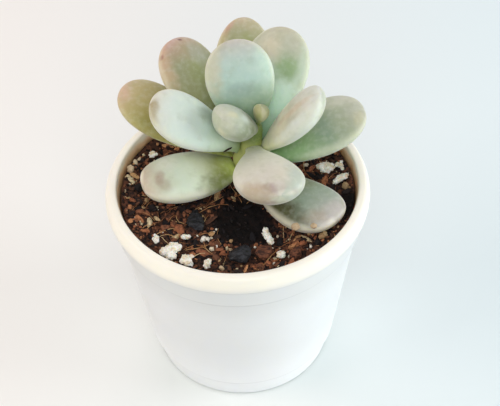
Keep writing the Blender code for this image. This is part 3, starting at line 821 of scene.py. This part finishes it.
def grain_finish():
    """Chalky grains from white to tan, each stained brown in places."""
    made = new_finish("small_grain", 0.85, Specular_IOR_Level=0.25)
    colour = own_colour(made, GRAIN_TONES)
    wear(made, "Base Color", flecked(made, colour, GRAIN_STAIN, 0.6, 0.45, 0.75, 0.5))
    relief(made, 0.3, 0.1)
    return made


grain_skin = grain_finish()
add_piece("small_grains", white_grains(), grain_skin, "perlite")


# The coconut fibres in the mix: stiff brown and straw-coloured hairs up to 2 cm long that lie over the
# crumbs. The long ones lie where they were seen, and a seeded rule strews the rest.
SEEN_FIBRES = (               # points on the soil, and how high the middle arches over it
    (((-18.8, -6.6), (-20.8, -9.8), (-22.0, -12.2)), 0.6),
    (((-18.8, -6.6), (-18.6, -9.0), (-17.3, -11.2)), 0.6),
    (((-15.2, -9.0), (-8.0, -5.6), (-2.5, -2.6)), 0.8),
    (((-16.7, -20.8), (-12.6, -20.5), (-8.8, -22.1)), 0.7),
    (((6.0, -29.1), (10.0, -24.7), (15.5, -19.6)), 1.2), (((-23.6, -6.3), (-21.2, -5.6)), 0.5),
    (((-28.6, -13.0), (-25.6, -12.0)), 0.4), (((-27.5, -13.2), (-22.7, -9.7), (-19.6, -3.8)), 0.9),
    (((-10.1, -4.6), (-3.0, 0.2)), 0.6), (((-15.2, -6.8), (-7.0, -2.3)), 0.7),
    (((25.1, 9.5), (30.4, 5.2)), 0.6), (((-19.5, -10.5), (-12.0, -8.5), (-4.0, -5.0)), 0.8),
    (((27.5, 4.1), (31.5, 7.6)), 0.5), (((-26.0, -16.5), (-20.0, -13.5), (-16.0, -15.5)), 0.7),
    (((-14.0, -25.0), (-9.0, -23.0)), 0.5), (((-21.5, -8.0), (-15.5, -12.5), (-12.5, -18.0)), 0.8),
    (((-24.5, -9.5), (-18.0, -10.0), (-13.5, -14.5)), 0.9),
    (((-13.0, -6.8), (-6.5, -4.6), (-1.0, -4.4)), 0.7),
    (((-20.5, -14.8), (-17.5, -18.5), (-12.0, -19.5)), 0.7),
)
STREWN_FIBRES = 70            # the most that are strewn
FIBRE_SEED = 8
FIBRE_RADIUS = 0.13
FIBRE_STEPS = 14
FIBRE_LENGTHS = (4.0, 12.0)
FIBRE_GIRTHS = (0.5, 1.25)    # thickness of a fibre at its root, in shares of the usual one
FIBRE_RISE = 0.35             # how high a fibre lies over the soil
FIBRE_TUCK = 0.7              # how far its ends dip into it
FIBRE_TONES = (
    (0.3, (104, 64, 40)), (0.45, (158, 104, 64)), (0.56, (198, 152, 100)), (0.7, (226, 198, 150)),
)


def fibre_run(points, arch):
    """Places along a fibre in millimetres: over the crumbs, with its ends tucked in."""
    run = []
    spans = len(points) - 1
    for k in range(FIBRE_STEPS + 1):
        share = k / FIBRE_STEPS
        span = min(int(share * spans), spans - 1)
        part = share * spans - span
        (x0, y0), (x1, y1) = points[span], points[span + 1]
        before = points[span - 1] if span > 0 else (2 * x0 - x1, 2 * y0 - y1)
        after = points[span + 2] if span + 2 <= spans else (2 * x1 - x0, 2 * y1 - y0)
        x, y = (curve_through(before[i], (x0, y0)[i], (x1, y1)[i], after[i], part) for i in range(2))
        lift = FIBRE_RISE + arch * math.sin(math.pi * share) - FIBRE_TUCK * (2.0 * share - 1.0) ** 6
        run.append((x, y, bed_height(x, y) * 0.3 + soil_top(x, y) * 0.7 + lift))
    return run


def curve_through(before, start, end, after, part):
    """A smooth curve from start to end that heads for its neighbours."""
    a = 2.0 * start
    b = end - before
    c = 2.0 * before - 5.0 * start + 4.0 * end - after
    d = 3.0 * start - before - 3.0 * end + after
    return 0.5 * (a + b * part + c * part ** 2 + d * part ** 3)


def coir_fibres():
    """All fibres as one curve with a round section."""
    draw = random.Random(FIBRE_SEED)
    runs = [fibre_run(points, arch) for points, arch in SEEN_FIBRES]
    while len(runs) < len(SEEN_FIBRES) + STREWN_FIBRES:
        x, y = strewn_place(draw, 4.0)
        way = draw.uniform(0.0, 6.3)
        half_length = 0.5 * draw.uniform(*FIBRE_LENGTHS)
        bent = way + draw.uniform(-0.6, 0.6)
        middle = (x + half_length * math.cos(way), y + half_length * math.sin(way))
        last = (middle[0] + half_length * math.cos(bent), middle[1] + half_length * math.sin(bent))
        inside = all(math.hypot(*place) < bed_radius - 1.2 for place in (middle, last))
        if inside and not hollowed(*middle, 0.8):
            runs.append(fibre_run(((x, y), middle, last), draw.uniform(0.1, 0.7)))
    curve = bpy.data.curves.new("coir_fibres", "CURVE")
    curve.dimensions = "3D"
    curve.bevel_depth = FIBRE_RADIUS * MM
    curve.bevel_resolution = 1
    curve.use_fill_caps = True
    for run in runs:
        if any(above_soil.find_nearest(Vector(p) * MM)[3] / MM <= 2.0 * FIBRE_RADIUS for p in run):
            continue
        spline = curve.splines.new("POLY")
        spline.points.add(len(run) - 1)
        girth = draw.uniform(*FIBRE_GIRTHS)
        for k, (point, place) in enumerate(zip(spline.points, run)):
            point.co = (*(value * MM for value in place), 1.0)
            point.radius = girth * (1.0 - 0.5 * (k / (len(run) - 1)))
    return curve


fibre_finish = new_finish("coir", 0.6, Specular_IOR_Level=0.35)
wear(fibre_finish, "Base Color", ramp(fibre_finish, grain(fibre_finish, 5.0, detail=1.0), FIBRE_TONES))
fibre_curve = coir_fibres()
fibre_curve.materials.append(fibre_finish)
fibres = add_object("coir_fibres", fibre_curve)
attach(fibres, "root")


# The stem. Short, fleshy and yellow-green, rooted in the soil, leaning to the right towards the crown.
# It swells into a small pad under each leaf's foot and ends in the rounded growing point.
STEM_SIDES = 40
STEM_ROWS = 70
STEM_FOOT = 55.0              # height of its lower end, in the soil
STEM_TOP = 84.5
STEM_TIP = 1.5                # height of the rounded tip above that
CROWN_RADIUS = 2.0            # its radius under the crown
THIN_FROM = 74.0              # heights where it starts to thin and to lean
LEAN_FROM = 72.0
LEAN_OVER = 12.0              # height over which both take place
LEAN_X = 3.5
LEAN_Y = 1.0
PAD_HEIGHT = 0.45             # how far the stem swells under a leaf's foot
PAD_REACH = 2.6
STEM_UNEVEN = 0.12            # how far its skin wanders in and out
STEM_GREEN = (178, 186, 108)
STEM_BROWN = (120, 104, 66)
# The darker green of the stem's top is painted shade under the crown leaves.
STEM_TOP_SHADE = (116, 136, 72)
STEM_SPOTS = (178, 176, 120)
BROWN_FADE = (72.0, 65.0)     # heights between which it turns corky towards the soil
TOP_SHADE_FADE = (79.0, 82.5)


def smoothstep(value):
    """An S-curve from 0 to 1, held at both ends."""
    value = min(1.0, max(0.0, value))
    return value * value * (3.0 - 2.0 * value)


def stem_centre(z):
    """Middle of the stem at a height."""
    lean = smoothstep((z - LEAN_FROM) / LEAN_OVER)
    return Vector((STEM_X + LEAN_X * lean, STEM_Y + LEAN_Y * lean, z))


def stem_radius(z):
    """Radius of the stem, closing to nothing at the tip of the growing point."""
    radius = STEM_RADIUS + (CROWN_RADIUS - STEM_RADIUS) * smoothstep((z - THIN_FROM) / LEAN_OVER)
    above_top = (z - STEM_TOP) / STEM_TIP
    return radius if above_top <= 0.0 else radius * math.sqrt(max(0.0, 1.0 - above_top * above_top))


def ring_faces(rings, sides):
    """Faces of a closed skin: one point, then rings of points, then one point."""
    following = [(k, (k + 1) % sides) for k in range(sides)]
    faces = []
    for low in range(1, 1 + (rings - 1) * sides, sides):
        faces += [(low + a, low + b, low + sides + b, low + sides + a) for a, b in following]
    last = 1 + (rings - 1) * sides
    for a, b in following:
        faces += [(0, 1 + b, 1 + a), (last + sides, last + a, last + b)]
    return faces


def stem_mesh(feet):
    """The stem with a pad at each leaf's foot, given as heading and height."""
    length = STEM_TOP + STEM_TIP - STEM_FOOT
    points = [stem_centre(STEM_FOOT)]
    for row in range(STEM_ROWS):
        z = STEM_FOOT + length * math.sin(0.5 * math.pi * row / STEM_ROWS)
        for k in range(STEM_SIDES):
            around = 2.0 * math.pi * k / STEM_SIDES
            outward = Vector((math.cos(around), math.sin(around), 0.0))
            bulge = STEM_UNEVEN * noise.noise(Vector((outward.x, outward.y, 0.7 * z)) * 1.6)
            for heading, foot in feet:
                turned = (around - math.radians(heading) + math.pi) % (2.0 * math.pi) - math.pi
                away = math.hypot(turned * stem_radius(z), z - foot) / PAD_REACH
                bulge = max(bulge, PAD_HEIGHT * (1.0 - smoothstep(away)))
            radius = stem_radius(z) + bulge * min(1.0, stem_radius(z) / CROWN_RADIUS)
            points.append(stem_centre(z) + outward * radius)
    points.append(stem_centre(STEM_TOP + STEM_TIP))
    return new_mesh("stem_body", points, ring_faces(STEM_ROWS, STEM_SIDES))


def stem_finish():
    """Yellow-green skin, browner and corky near the soil, with darker painted shade at the top."""
    made = new_finish("stem_skin", 0.5, Subsurface_Weight=0.3, Subsurface_Scale=0.002,
                      Subsurface_Radius=(0.9, 1.0, 0.3))
    z = along_axis(made, 2)
    corky = faded(made, z, *BROWN_FADE, 0.05, 0.75)
    colour = mixed(made, corky, paint(*STEM_GREEN), paint(*STEM_BROWN))
    colour = mixed(made, faded(made, z, *TOP_SHADE_FADE), colour, paint(*STEM_TOP_SHADE))
    wear(made, "Base Color", flecked(made, colour, STEM_SPOTS, 1.2, 0.5, 0.75, 0.4))
    relief(made, 0.7, 0.1)
    return made


# The leaves. Each is one plump, water-filled spoon of green flesh under a powdery pale wax bloom. It
# grows from a narrow foot on the stem. Light comes through its edges, and old blades bruise mauve.
LEAF_RINGS = 60
LEAF_SIDES = 48
LEAF_TAPER = 0.82             # how pointed the outline is at the foot, for leaves that name no taper
LEAF_TIP = 0.5                # the same for the tip
DEPTH_TAPER = 0.95            # a blade seen from its side is that much blunter at the foot
LEAF_START = 0.04             # share of the length where the first ring lies
LEAF_EASING = 1.7             # crowds the rings towards the tip
LEAF_GAP = 0.35               # gap left at the stem
TIP_INSET = 0.1               # how far a blade stays inside its solid's tip
UPPER_SHARE = 0.8             # a blade is flatter above than below
LOWER_SHARE = 1.2
WART_SIZE = (0.07, 0.009)     # reach of a wart across and along the blade
WART_HEIGHT = 0.22
UNEVEN = (0.10, 7.0)          # depth and size of the blade's gentle unevenness
UNDERSIDE = (166, 178, 142)
WORN = (136, 150, 104)        # where the bloom has rubbed off
BLOOM = (236, 238, 228)       # where it lies thick
EDGE_HIGHLIGHT = (226, 222, 200)      # painted highlight along the blade's sides, where light comes through the wax
EDGE_HIGHLIGHT_SHARE = 0.32                   # strength of that painted highlight, for leaves that name none
DRIFT = 0.09                  # how far the tones wander along the blade
WOBBLE = 0.45                 # how uneven the outlines of the marks are

# Each leaf points to its heading, in degrees from +X, and climbs by its rise, from a foot at that height
# on the stem. roll turns it about its length, sweep bends its tip aside, and neck keeps its foot wide.
# tones run along the blade from 0, its foot, to 1, its tip. A mark has its place across, from -1 to 1,
# and along, its reach both ways, its colour and its strength; some marks are painted shade and some painted
# light, as noted at their leaf. edge is the strength of the painted highlight along the sides. A wart has
# its place alone.
LEAVES = {
    "leaf_front_right": dict(
        heading=-48.5, rise=-3.0, foot=70.8, length=31.5, width=19.6, thick=9.0, taper=0.95, tip=0.42,
        neck=0.3, sweep=3.5, edge=0.7,
        tones=((0.0, (98, 108, 46)), (0.45, (120, 126, 84)), (0.68, (150, 165, 146)),
               (0.84, (163, 171, 157)), (0.965, (180, 176, 168)), (1.0, (230, 226, 214))),
        # The first mark is painted shade, the shadow that leaf_front casts on the lower side.
        marks=((-0.85, 0.58, 0.6, 0.34, (76, 72, 30), 0.9),
               (0.3, 0.95, 0.6, 0.12, (190, 183, 176), 0.6),
               (-0.45, 0.88, 0.4, 0.1, (176, 158, 140), 0.5)),
    ),
    "leaf_left": dict(
        heading=-166.0, rise=1.5, foot=71.0, length=28.5, width=19.2, thick=9.4, taper=0.5, tip=0.38,
        neck=0.38, edge=0.5,
        # The bright yellow-green foot is partly the flesh's own colour and partly painted light that lifts
        # its shade.
        tones=((0.0, (178, 194, 90)), (0.21, (158, 165, 98)), (0.36, (208, 216, 186)),
               (0.5, (226, 238, 216)), (0.64, (216, 230, 210)), (0.8, (204, 208, 186)),
               (0.96, (198, 184, 162)), (1.0, (232, 224, 204))),
        marks=((0.3, 0.835, 0.3, 0.05, (160, 124, 110), 0.5),
               (0.05, 0.8, 0.24, 0.05, (162, 128, 110), 0.4),
               # painted light along the lower side
               (1.0, 0.62, 0.4, 0.3, (226, 238, 220), 0.6),
               (-0.4, 0.7, 0.45, 0.14, (240, 242, 228), 0.6),
               (0.55, 0.8, 0.3, 0.08, (158, 138, 114), 0.45),
               # painted shade near the foot, under leaf_upper_left and leaf_front
               (1.0, 0.25, 0.65, 0.22, (104, 112, 48), 0.8)),
    ),
    "leaf_back": dict(
        heading=87.5, rise=39.5, foot=68.3, length=45.0, width=19.0, thick=8.5,
        tones=((0.0, (120, 146, 80)), (0.6, (152, 160, 112)), (0.88, (170, 170, 134)),
               (1.0, (190, 176, 150))),
        marks=((0.88, 0.92, 0.35, 0.06, (194, 134, 130), 0.6),
               (0.9, 0.8, 0.35, 0.16, (202, 184, 142), 0.6),
               (-0.1, 0.84, 0.3, 0.05, (150, 160, 96), 0.4)),
    ),
    "leaf_right": dict(
        heading=12.0, rise=18.0, foot=73.7, length=35.0, width=21.6, thick=9.0, taper=0.75, tip=0.44,
        neck=0.22,
        tones=((0.0, (120, 166, 100)), (0.42, (142, 172, 128)), (0.65, (150, 168, 142)),
               (0.82, (170, 178, 152)), (0.94, (184, 187, 168)), (1.0, (182, 181, 166))),
        marks=((0.6, 0.8, 0.5, 0.2, (208, 208, 190), 0.6),
               (-0.6, 0.92, 0.4, 0.06, (206, 200, 160), 0.4),
               (-0.4, 0.62, 0.5, 0.1, (132, 156, 138), 0.4)),
    ),
    "leaf_far_left": dict(
        heading=157.0, rise=24.5, foot=73.3, length=39.5, width=19.8, thick=7.8, taper=1.1, tip=0.47,
        edge=0.05,
        tones=((0.0, (140, 150, 60)), (0.5, (152, 148, 62)), (0.72, (166, 158, 92)),
               (0.88, (186, 172, 124)), (1.0, (204, 176, 150))),
        marks=((0.35, 1.0, 0.7, 0.12, (208, 176, 150), 0.7),
               (0.6, 0.7, 0.3, 0.12, (158, 148, 74), 0.5), (0.95, 0.6, 0.4, 0.2, (148, 140, 70), 0.6)),
    ),
    "leaf_back_left": dict(
        heading=133.0, rise=41.5, foot=76.0, length=37.5, width=19.6, thick=7.8, taper=0.9, tip=0.46,
        tones=((0.0, (140, 150, 90)), (0.55, (152, 156, 112)), (0.76, (158, 160, 124)),
               (0.9, (176, 157, 132)), (1.0, (194, 162, 150))),
        marks=((0.92, 0.85, 0.4, 0.22, (208, 176, 146), 0.65),
               (-0.47, 0.965, 0.12, 0.014, (104, 56, 66), 0.85),
               (0.9, 0.92, 0.12, 0.02, (150, 84, 78), 0.6),
               (-0.1, 0.68, 0.4, 0.12, (150, 160, 104), 0.5),
               (-0.5, 0.8, 0.4, 0.12, (168, 172, 158), 0.5)),
    ),
    "leaf_back_right": dict(
        heading=62.0, rise=45.5, foot=75.8, length=36.5, width=21.0, thick=8.5, taper=0.95,
        tones=((0.0, (112, 160, 92)), (0.35, (200, 230, 208)), (0.5, (208, 229, 211)),
               (0.78, (186, 194, 172)), (1.0, (190, 186, 164))),
        marks=((-0.45, 0.69, 0.5, 0.13, (142, 170, 116), 0.8),
               (0.3, 0.8, 0.55, 0.16, (214, 204, 180), 0.7),
               (-0.92, 0.7, 0.25, 0.3, (194, 208, 188), 0.7)),
    ),
    "leaf_front": dict(
        heading=-82.0, rise=11.0, foot=79.5, length=25.5, width=20.0, thick=11.0, taper=1.0, tip=0.46,
        neck=0.28, sweep=3.0, edge=0.08,
        tones=((0.0, (202, 208, 160)), (0.3, (208, 210, 188)), (0.7, (210, 206, 190)),
               (0.92, (204, 198, 184)), (0.97, (190, 182, 170)), (1.0, (228, 224, 212))),
        marks=((-0.42, 0.95, 0.4, 0.05, (166, 142, 136), 0.65),
               (-0.95, 0.92, 0.5, 0.12, (182, 160, 132), 0.7),
               (0.75, 0.85, 0.4, 0.25, (180, 191, 177), 0.8)),
        warts=((-0.42, 0.95), (-0.3, 0.93), (-0.5, 0.97), (-0.2, 0.965)),
    ),
    "leaf_upper_right": dict(
        heading=-7.0, rise=52.5, foot=78.4, length=27.0, width=15.0, thick=8.8, taper=0.74, tip=0.42,
        neck=0.4, edge=0.15,
        # The pale foot is partly the leaf's own colour and partly painted light that lifts the shade at its
        # neck.
        tones=((0.0, (222, 226, 172)), (0.3, (230, 226, 196)), (0.6, (182, 180, 156)),
               (0.85, (206, 204, 190)), (1.0, (208, 212, 202))),
        marks=((-0.3, 0.68, 0.22, 0.3, (200, 178, 152), 0.6),
               (-0.95, 0.65, 0.3, 0.4, (220, 228, 222), 0.6)),
    ),
    "leaf_upper_left": dict(
        heading=-174.0, rise=38.5, foot=78.9, length=31.8, width=17.0, thick=8.0, taper=0.9, tip=0.48,
        neck=0.36, roll=-24.0,
        tones=((0.0, (146, 168, 104)), (0.22, (198, 216, 190)), (0.45, (208, 226, 214)),
               (0.8, (208, 218, 208)), (1.0, (208, 204, 190))),
        marks=((0.3, 1.0, 1.0, 0.07, (158, 140, 98), 0.8),
               (0.85, 0.96, 0.3, 0.07, (176, 162, 124), 0.35),
               # painted shade: the shadow of leaf_crown on the blade
               (-0.4, 0.46, 0.42, 0.11, (118, 130, 104), 0.45)),
    ),
    "leaf_upper_back": dict(
        heading=114.5, rise=70.0, foot=82.0, length=28.5, width=20.3, thick=7.0, taper=0.75, roll=-20.0,
        tones=((0.0, (146, 178, 128)), (0.42, (168, 194, 172)), (0.6, (186, 212, 200)),
               (0.78, (184, 203, 193)), (0.93, (188, 190, 181)), (1.0, (190, 184, 176))),
        marks=((0.85, 0.72, 0.4, 0.3, (206, 198, 170), 0.7),
               (-0.85, 0.62, 0.35, 0.25, (198, 220, 203), 0.7),
               # painted shade across the middle, below leaf_crown
               (0.08, 0.5, 0.5, 0.09, (150, 172, 164), 0.5)),
    ),
    "leaf_crown": dict(
        heading=-147.0, rise=42.0, foot=86.2, length=14.2, width=13.8, thick=9.4, taper=0.65, tip=0.46,
        neck=0.5, edge=0.0,
        tones=((0.0, (150, 168, 104)), (0.45, (154, 165, 138)), (0.72, (182, 192, 172)),
               (0.9, (192, 197, 178)), (1.0, (196, 198, 180))),
        marks=((0.38, 0.87, 0.3, 0.1, (212, 208, 166), 0.5),
               (0.55, 0.62, 0.3, 0.15, (212, 224, 210), 0.6),
               # The last two marks are painted shade, on its right side and near its foot.
               (1.0, 0.5, 0.35, 0.4, (124, 132, 104), 0.7), (0.4, 0.16, 0.9, 0.4, (84, 94, 56), 0.95)),
    ),
    "leaf_bud": dict(
        heading=22.0, rise=80.0, foot=86.4, length=6.2, width=5.4, thick=4.8, taper=0.95, neck=0.35,
        tones=((0.0, (126, 150, 60)), (0.5, (162, 168, 108)), (1.0, (182, 180, 136))),
        marks=((0.0, 0.8, 0.5, 0.2, (172, 164, 120), 0.5),),
    ),
}


def swell(share, taper, tip, neck):
    """Width of a leaf's outline at a share of its length, 1 at the widest place."""
    widest = taper / (taper + tip)
    peak = widest ** taper * (1.0 - widest) ** tip
    blade = share ** taper * (1.0 - share) ** tip / peak
    return (blade ** 3 + (neck * (1.0 - share) ** 2) ** 3) ** (1.0 / 3.0)


def leaf_mesh(name, leaf):
    """The blade as rings along its length, with gentle unevenness and small warts where it has them."""
    heading, climb, spin = (math.radians(leaf.get(key, 0.0)) for key in ("heading", "rise", "roll"))
    taper, tip, neck = leaf.get("taper", LEAF_TAPER), leaf.get("tip", LEAF_TIP), leaf.get("neck", 0.0)
    length, sweep = leaf["length"] - TIP_INSET, leaf.get("sweep", 0.0)
    outward = Vector((math.cos(heading), math.sin(heading), 0.0))
    along = outward * math.cos(climb) + Vector((0.0, 0.0, math.sin(climb)))
    upward = Vector((0.0, 0.0, math.cos(climb))) - outward * math.sin(climb)
    across = upward.cross(along)
    side = across * math.cos(spin) + upward * math.sin(spin)
    face = upward * math.cos(spin) - across * math.sin(spin)
    foot_thick = 0.5 * leaf["thick"] * swell(LEAF_START, taper * DEPTH_TAPER, tip, neck)
    foot_rise = UPPER_SHARE * foot_thick * math.sin(climb)
    base = stem_centre(leaf["foot"]) + outward * (stem_radius(leaf["foot"]) + LEAF_GAP + foot_rise)
    points, blade = [base], [(0.0, 0.0, 0.0)]
    for ring in range(LEAF_RINGS):
        eased = 1.0 - (1.0 - ring / LEAF_RINGS) ** LEAF_EASING
        share = LEAF_START + (1.0 - LEAF_START) * eased
        middle = base + along * (length * eased) + side * (sweep * share ** 2)
        half_width = 0.5 * leaf["width"] * swell(share, taper, tip, neck)
        half_thick = 0.5 * leaf["thick"] * swell(share, taper * DEPTH_TAPER, tip, neck)
        for k in range(LEAF_SIDES):
            around = 2.0 * math.pi * k / LEAF_SIDES
            lift = math.sin(around) * (UPPER_SHARE if math.sin(around) > 0.0 else LOWER_SHARE)
            outline = side * (math.cos(around) * half_width) + face * (lift * half_thick)
            uneven = UNEVEN[0] * (noise.noise((middle + outline) / UNEVEN[1]) - 0.7) * min(1.0, half_thick)
            for wart_across, wart_along in leaf.get("warts", ()):
                beside, ahead = math.cos(around) - wart_across, share - wart_along
                away = math.hypot(beside / WART_SIZE[0], ahead / WART_SIZE[1])
                uneven += WART_HEIGHT * (1.0 - smoothstep(away)) if lift > 0.0 else 0.0
            points.append(middle + outline + face * (uneven if lift > 0.0 else -uneven))
            blade.append((math.cos(around), share, math.sin(around)))
    points.append(base + along * length + side * sweep)
    blade.append((0.0, 1.0, 0.0))
    mesh = new_mesh(name + "_blade", points, ring_faces(LEAF_RINGS, LEAF_SIDES))
    places = mesh.attributes.new("blade", "FLOAT_VECTOR", "POINT")
    places.data.foreach_set("vector", [value for place in blade for value in place])
    return mesh


def smudge(made, blade, mark, wobble):
    """Share from 0 to 1 of an uneven oval mark on the blade."""
    x, y, reach_across, reach_along, _, strength = mark
    away = computed(made, "SUBTRACT", blade, (x, y, 0.0), kind="VectorMath")
    away = computed(made, "MULTIPLY", away, (1.0 / reach_across, 1.0 / reach_along, 0.0), kind="VectorMath")
    away = computed(made, "LENGTH", away, kind="VectorMath", result="Value")
    return between(made, computed(made, "ADD", away, wobble), 1.25, 0.25, 0.0, strength)


def leaf_finish(name, leaf, shift):
    """The skin of one leaf: tones along it, marks, a painted highlight along its sides, and a worn powdery
    bloom over all.
    """
    made = new_finish(name + "_skin", 0.5, Subsurface_Weight=0.45, Subsurface_Scale=0.0035,
                      Subsurface_Radius=(0.9, 1.0, 0.45), Specular_IOR_Level=0.35,
                      Sheen_Weight=0.3, Sheen_Roughness=0.4)
    blade = node(made, "Attribute", attribute_name="blade").outputs["Vector"]
    across, along, face = node(made, "SeparateXYZ", {0: blade}).outputs
    drift = waver(made, 9.0, DRIFT, detail=2.0, shift=shift)
    colour = ramp(made, computed(made, "ADD", along, drift), leaf["tones"])
    colour = mixed(made, between(made, face, 0.2, -1.0, 0.0, 0.45), colour, paint(*UNDERSIDE))
    wobble = waver(made, 2.6, WOBBLE, shift=shift)
    for mark in leaf["marks"]:
        colour = mixed(made, smudge(made, blade, mark, wobble), colour, paint(*mark[4]))
    colour = flecked(made, colour, WORN, 3.2, 0.5, 0.72, 0.16, detail=4.0, shift=shift + 7.0)
    colour = flecked(made, colour, BLOOM, 1.6, 0.4, 0.75, 0.14, detail=4.0, shift=shift)
    # painted highlight along the blade's sides
    edge_highlight = between(made, computed(made, "ABSOLUTE", across), 0.82, 1.0, 0.0, leaf.get("edge", EDGE_HIGHLIGHT_SHARE))
    edge_highlight = computed(made, "MULTIPLY", edge_highlight, between(made, along, 0.25, 0.5))
    wear(made, "Base Color", mixed(made, edge_highlight, colour, paint(*EDGE_HIGHLIGHT)))
    wear(made, "Roughness", between(made, grain(made, 2.2, detail=3.0, shift=shift), 0.35, 0.7, 0.42, 0.62))
    relief(made, 0.9, 0.035, shift=shift)
    return made


leaf_feet = [(leaf["heading"], leaf["foot"]) for leaf in LEAVES.values()]
add_piece("stem_body", stem_mesh(leaf_feet), stem_finish(), "stem_green", "stem")
for number, (leaf_name, leaf) in enumerate(LEAVES.items()):
    skin = leaf_finish(leaf_name, leaf, 13.0 * number)
    add_piece(leaf_name + "_blade", leaf_mesh(leaf_name, leaf), skin, "leaf_skin", leaf_name)


# The two rounded grains of tan grit on the lowest leaf on the right. They stick to the wet edge of its
# blade since the last watering, clear of the soil below.
STUCK_GRAINS = ((16.3, -19.8, 70.0, 1.35), (21.5, -20.3, 70.5, 1.0))     # x, y, z, half size
STUCK_FLATNESS = 0.8
STUCK_TONE = 0.48
STUCK_SEED = 3

stuck_draw = random.Random(STUCK_SEED)
blank, blank_faces = ball(3)
stuck = []
for x, y, z, size in STUCK_GRAINS:
    sizes = (size, size, STUCK_FLATNESS * size)
    shaped = chip(blank, sizes, Matrix.Identity(3), stuck_draw, cuts=0, rough=0.2)
    stuck.append((Vector((x, y, z)), shaped, blank_faces, STUCK_TONE))
add_piece("stuck_grains", chip_heap("stuck_grains", stuck), grain_skin, "perlite")


# The withered scale by the foot of the upper left leaf. It is what is left of a tiny early leaf: a dark
# dry sliver that still hangs on the edge of its neighbour.
SCALE_PLACE = (-2.4, 2.3, 80.7)
SCALE_SIZES = (1.5, 0.34, 0.3)# half sizes
SCALE_TURN = 35.0             # degrees from +X, seen from above
SCALE_SEED = 4
SCALE_LOOK = ("dry_scale", (58, 42, 34), (24, 20, 19), 0.7)

turned = Matrix.Rotation(math.radians(SCALE_TURN), 3, "Z")
shaped = chip(blank, SCALE_SIZES, turned, random.Random(SCALE_SEED), cuts=3, rough=0.5)
sliver = new_mesh("withered_scale", [Vector(SCALE_PLACE) + corner for corner in shaped], blank_faces)
add_piece("withered_scale", sliver, chipped_finish(*SCALE_LOOK), "bark")
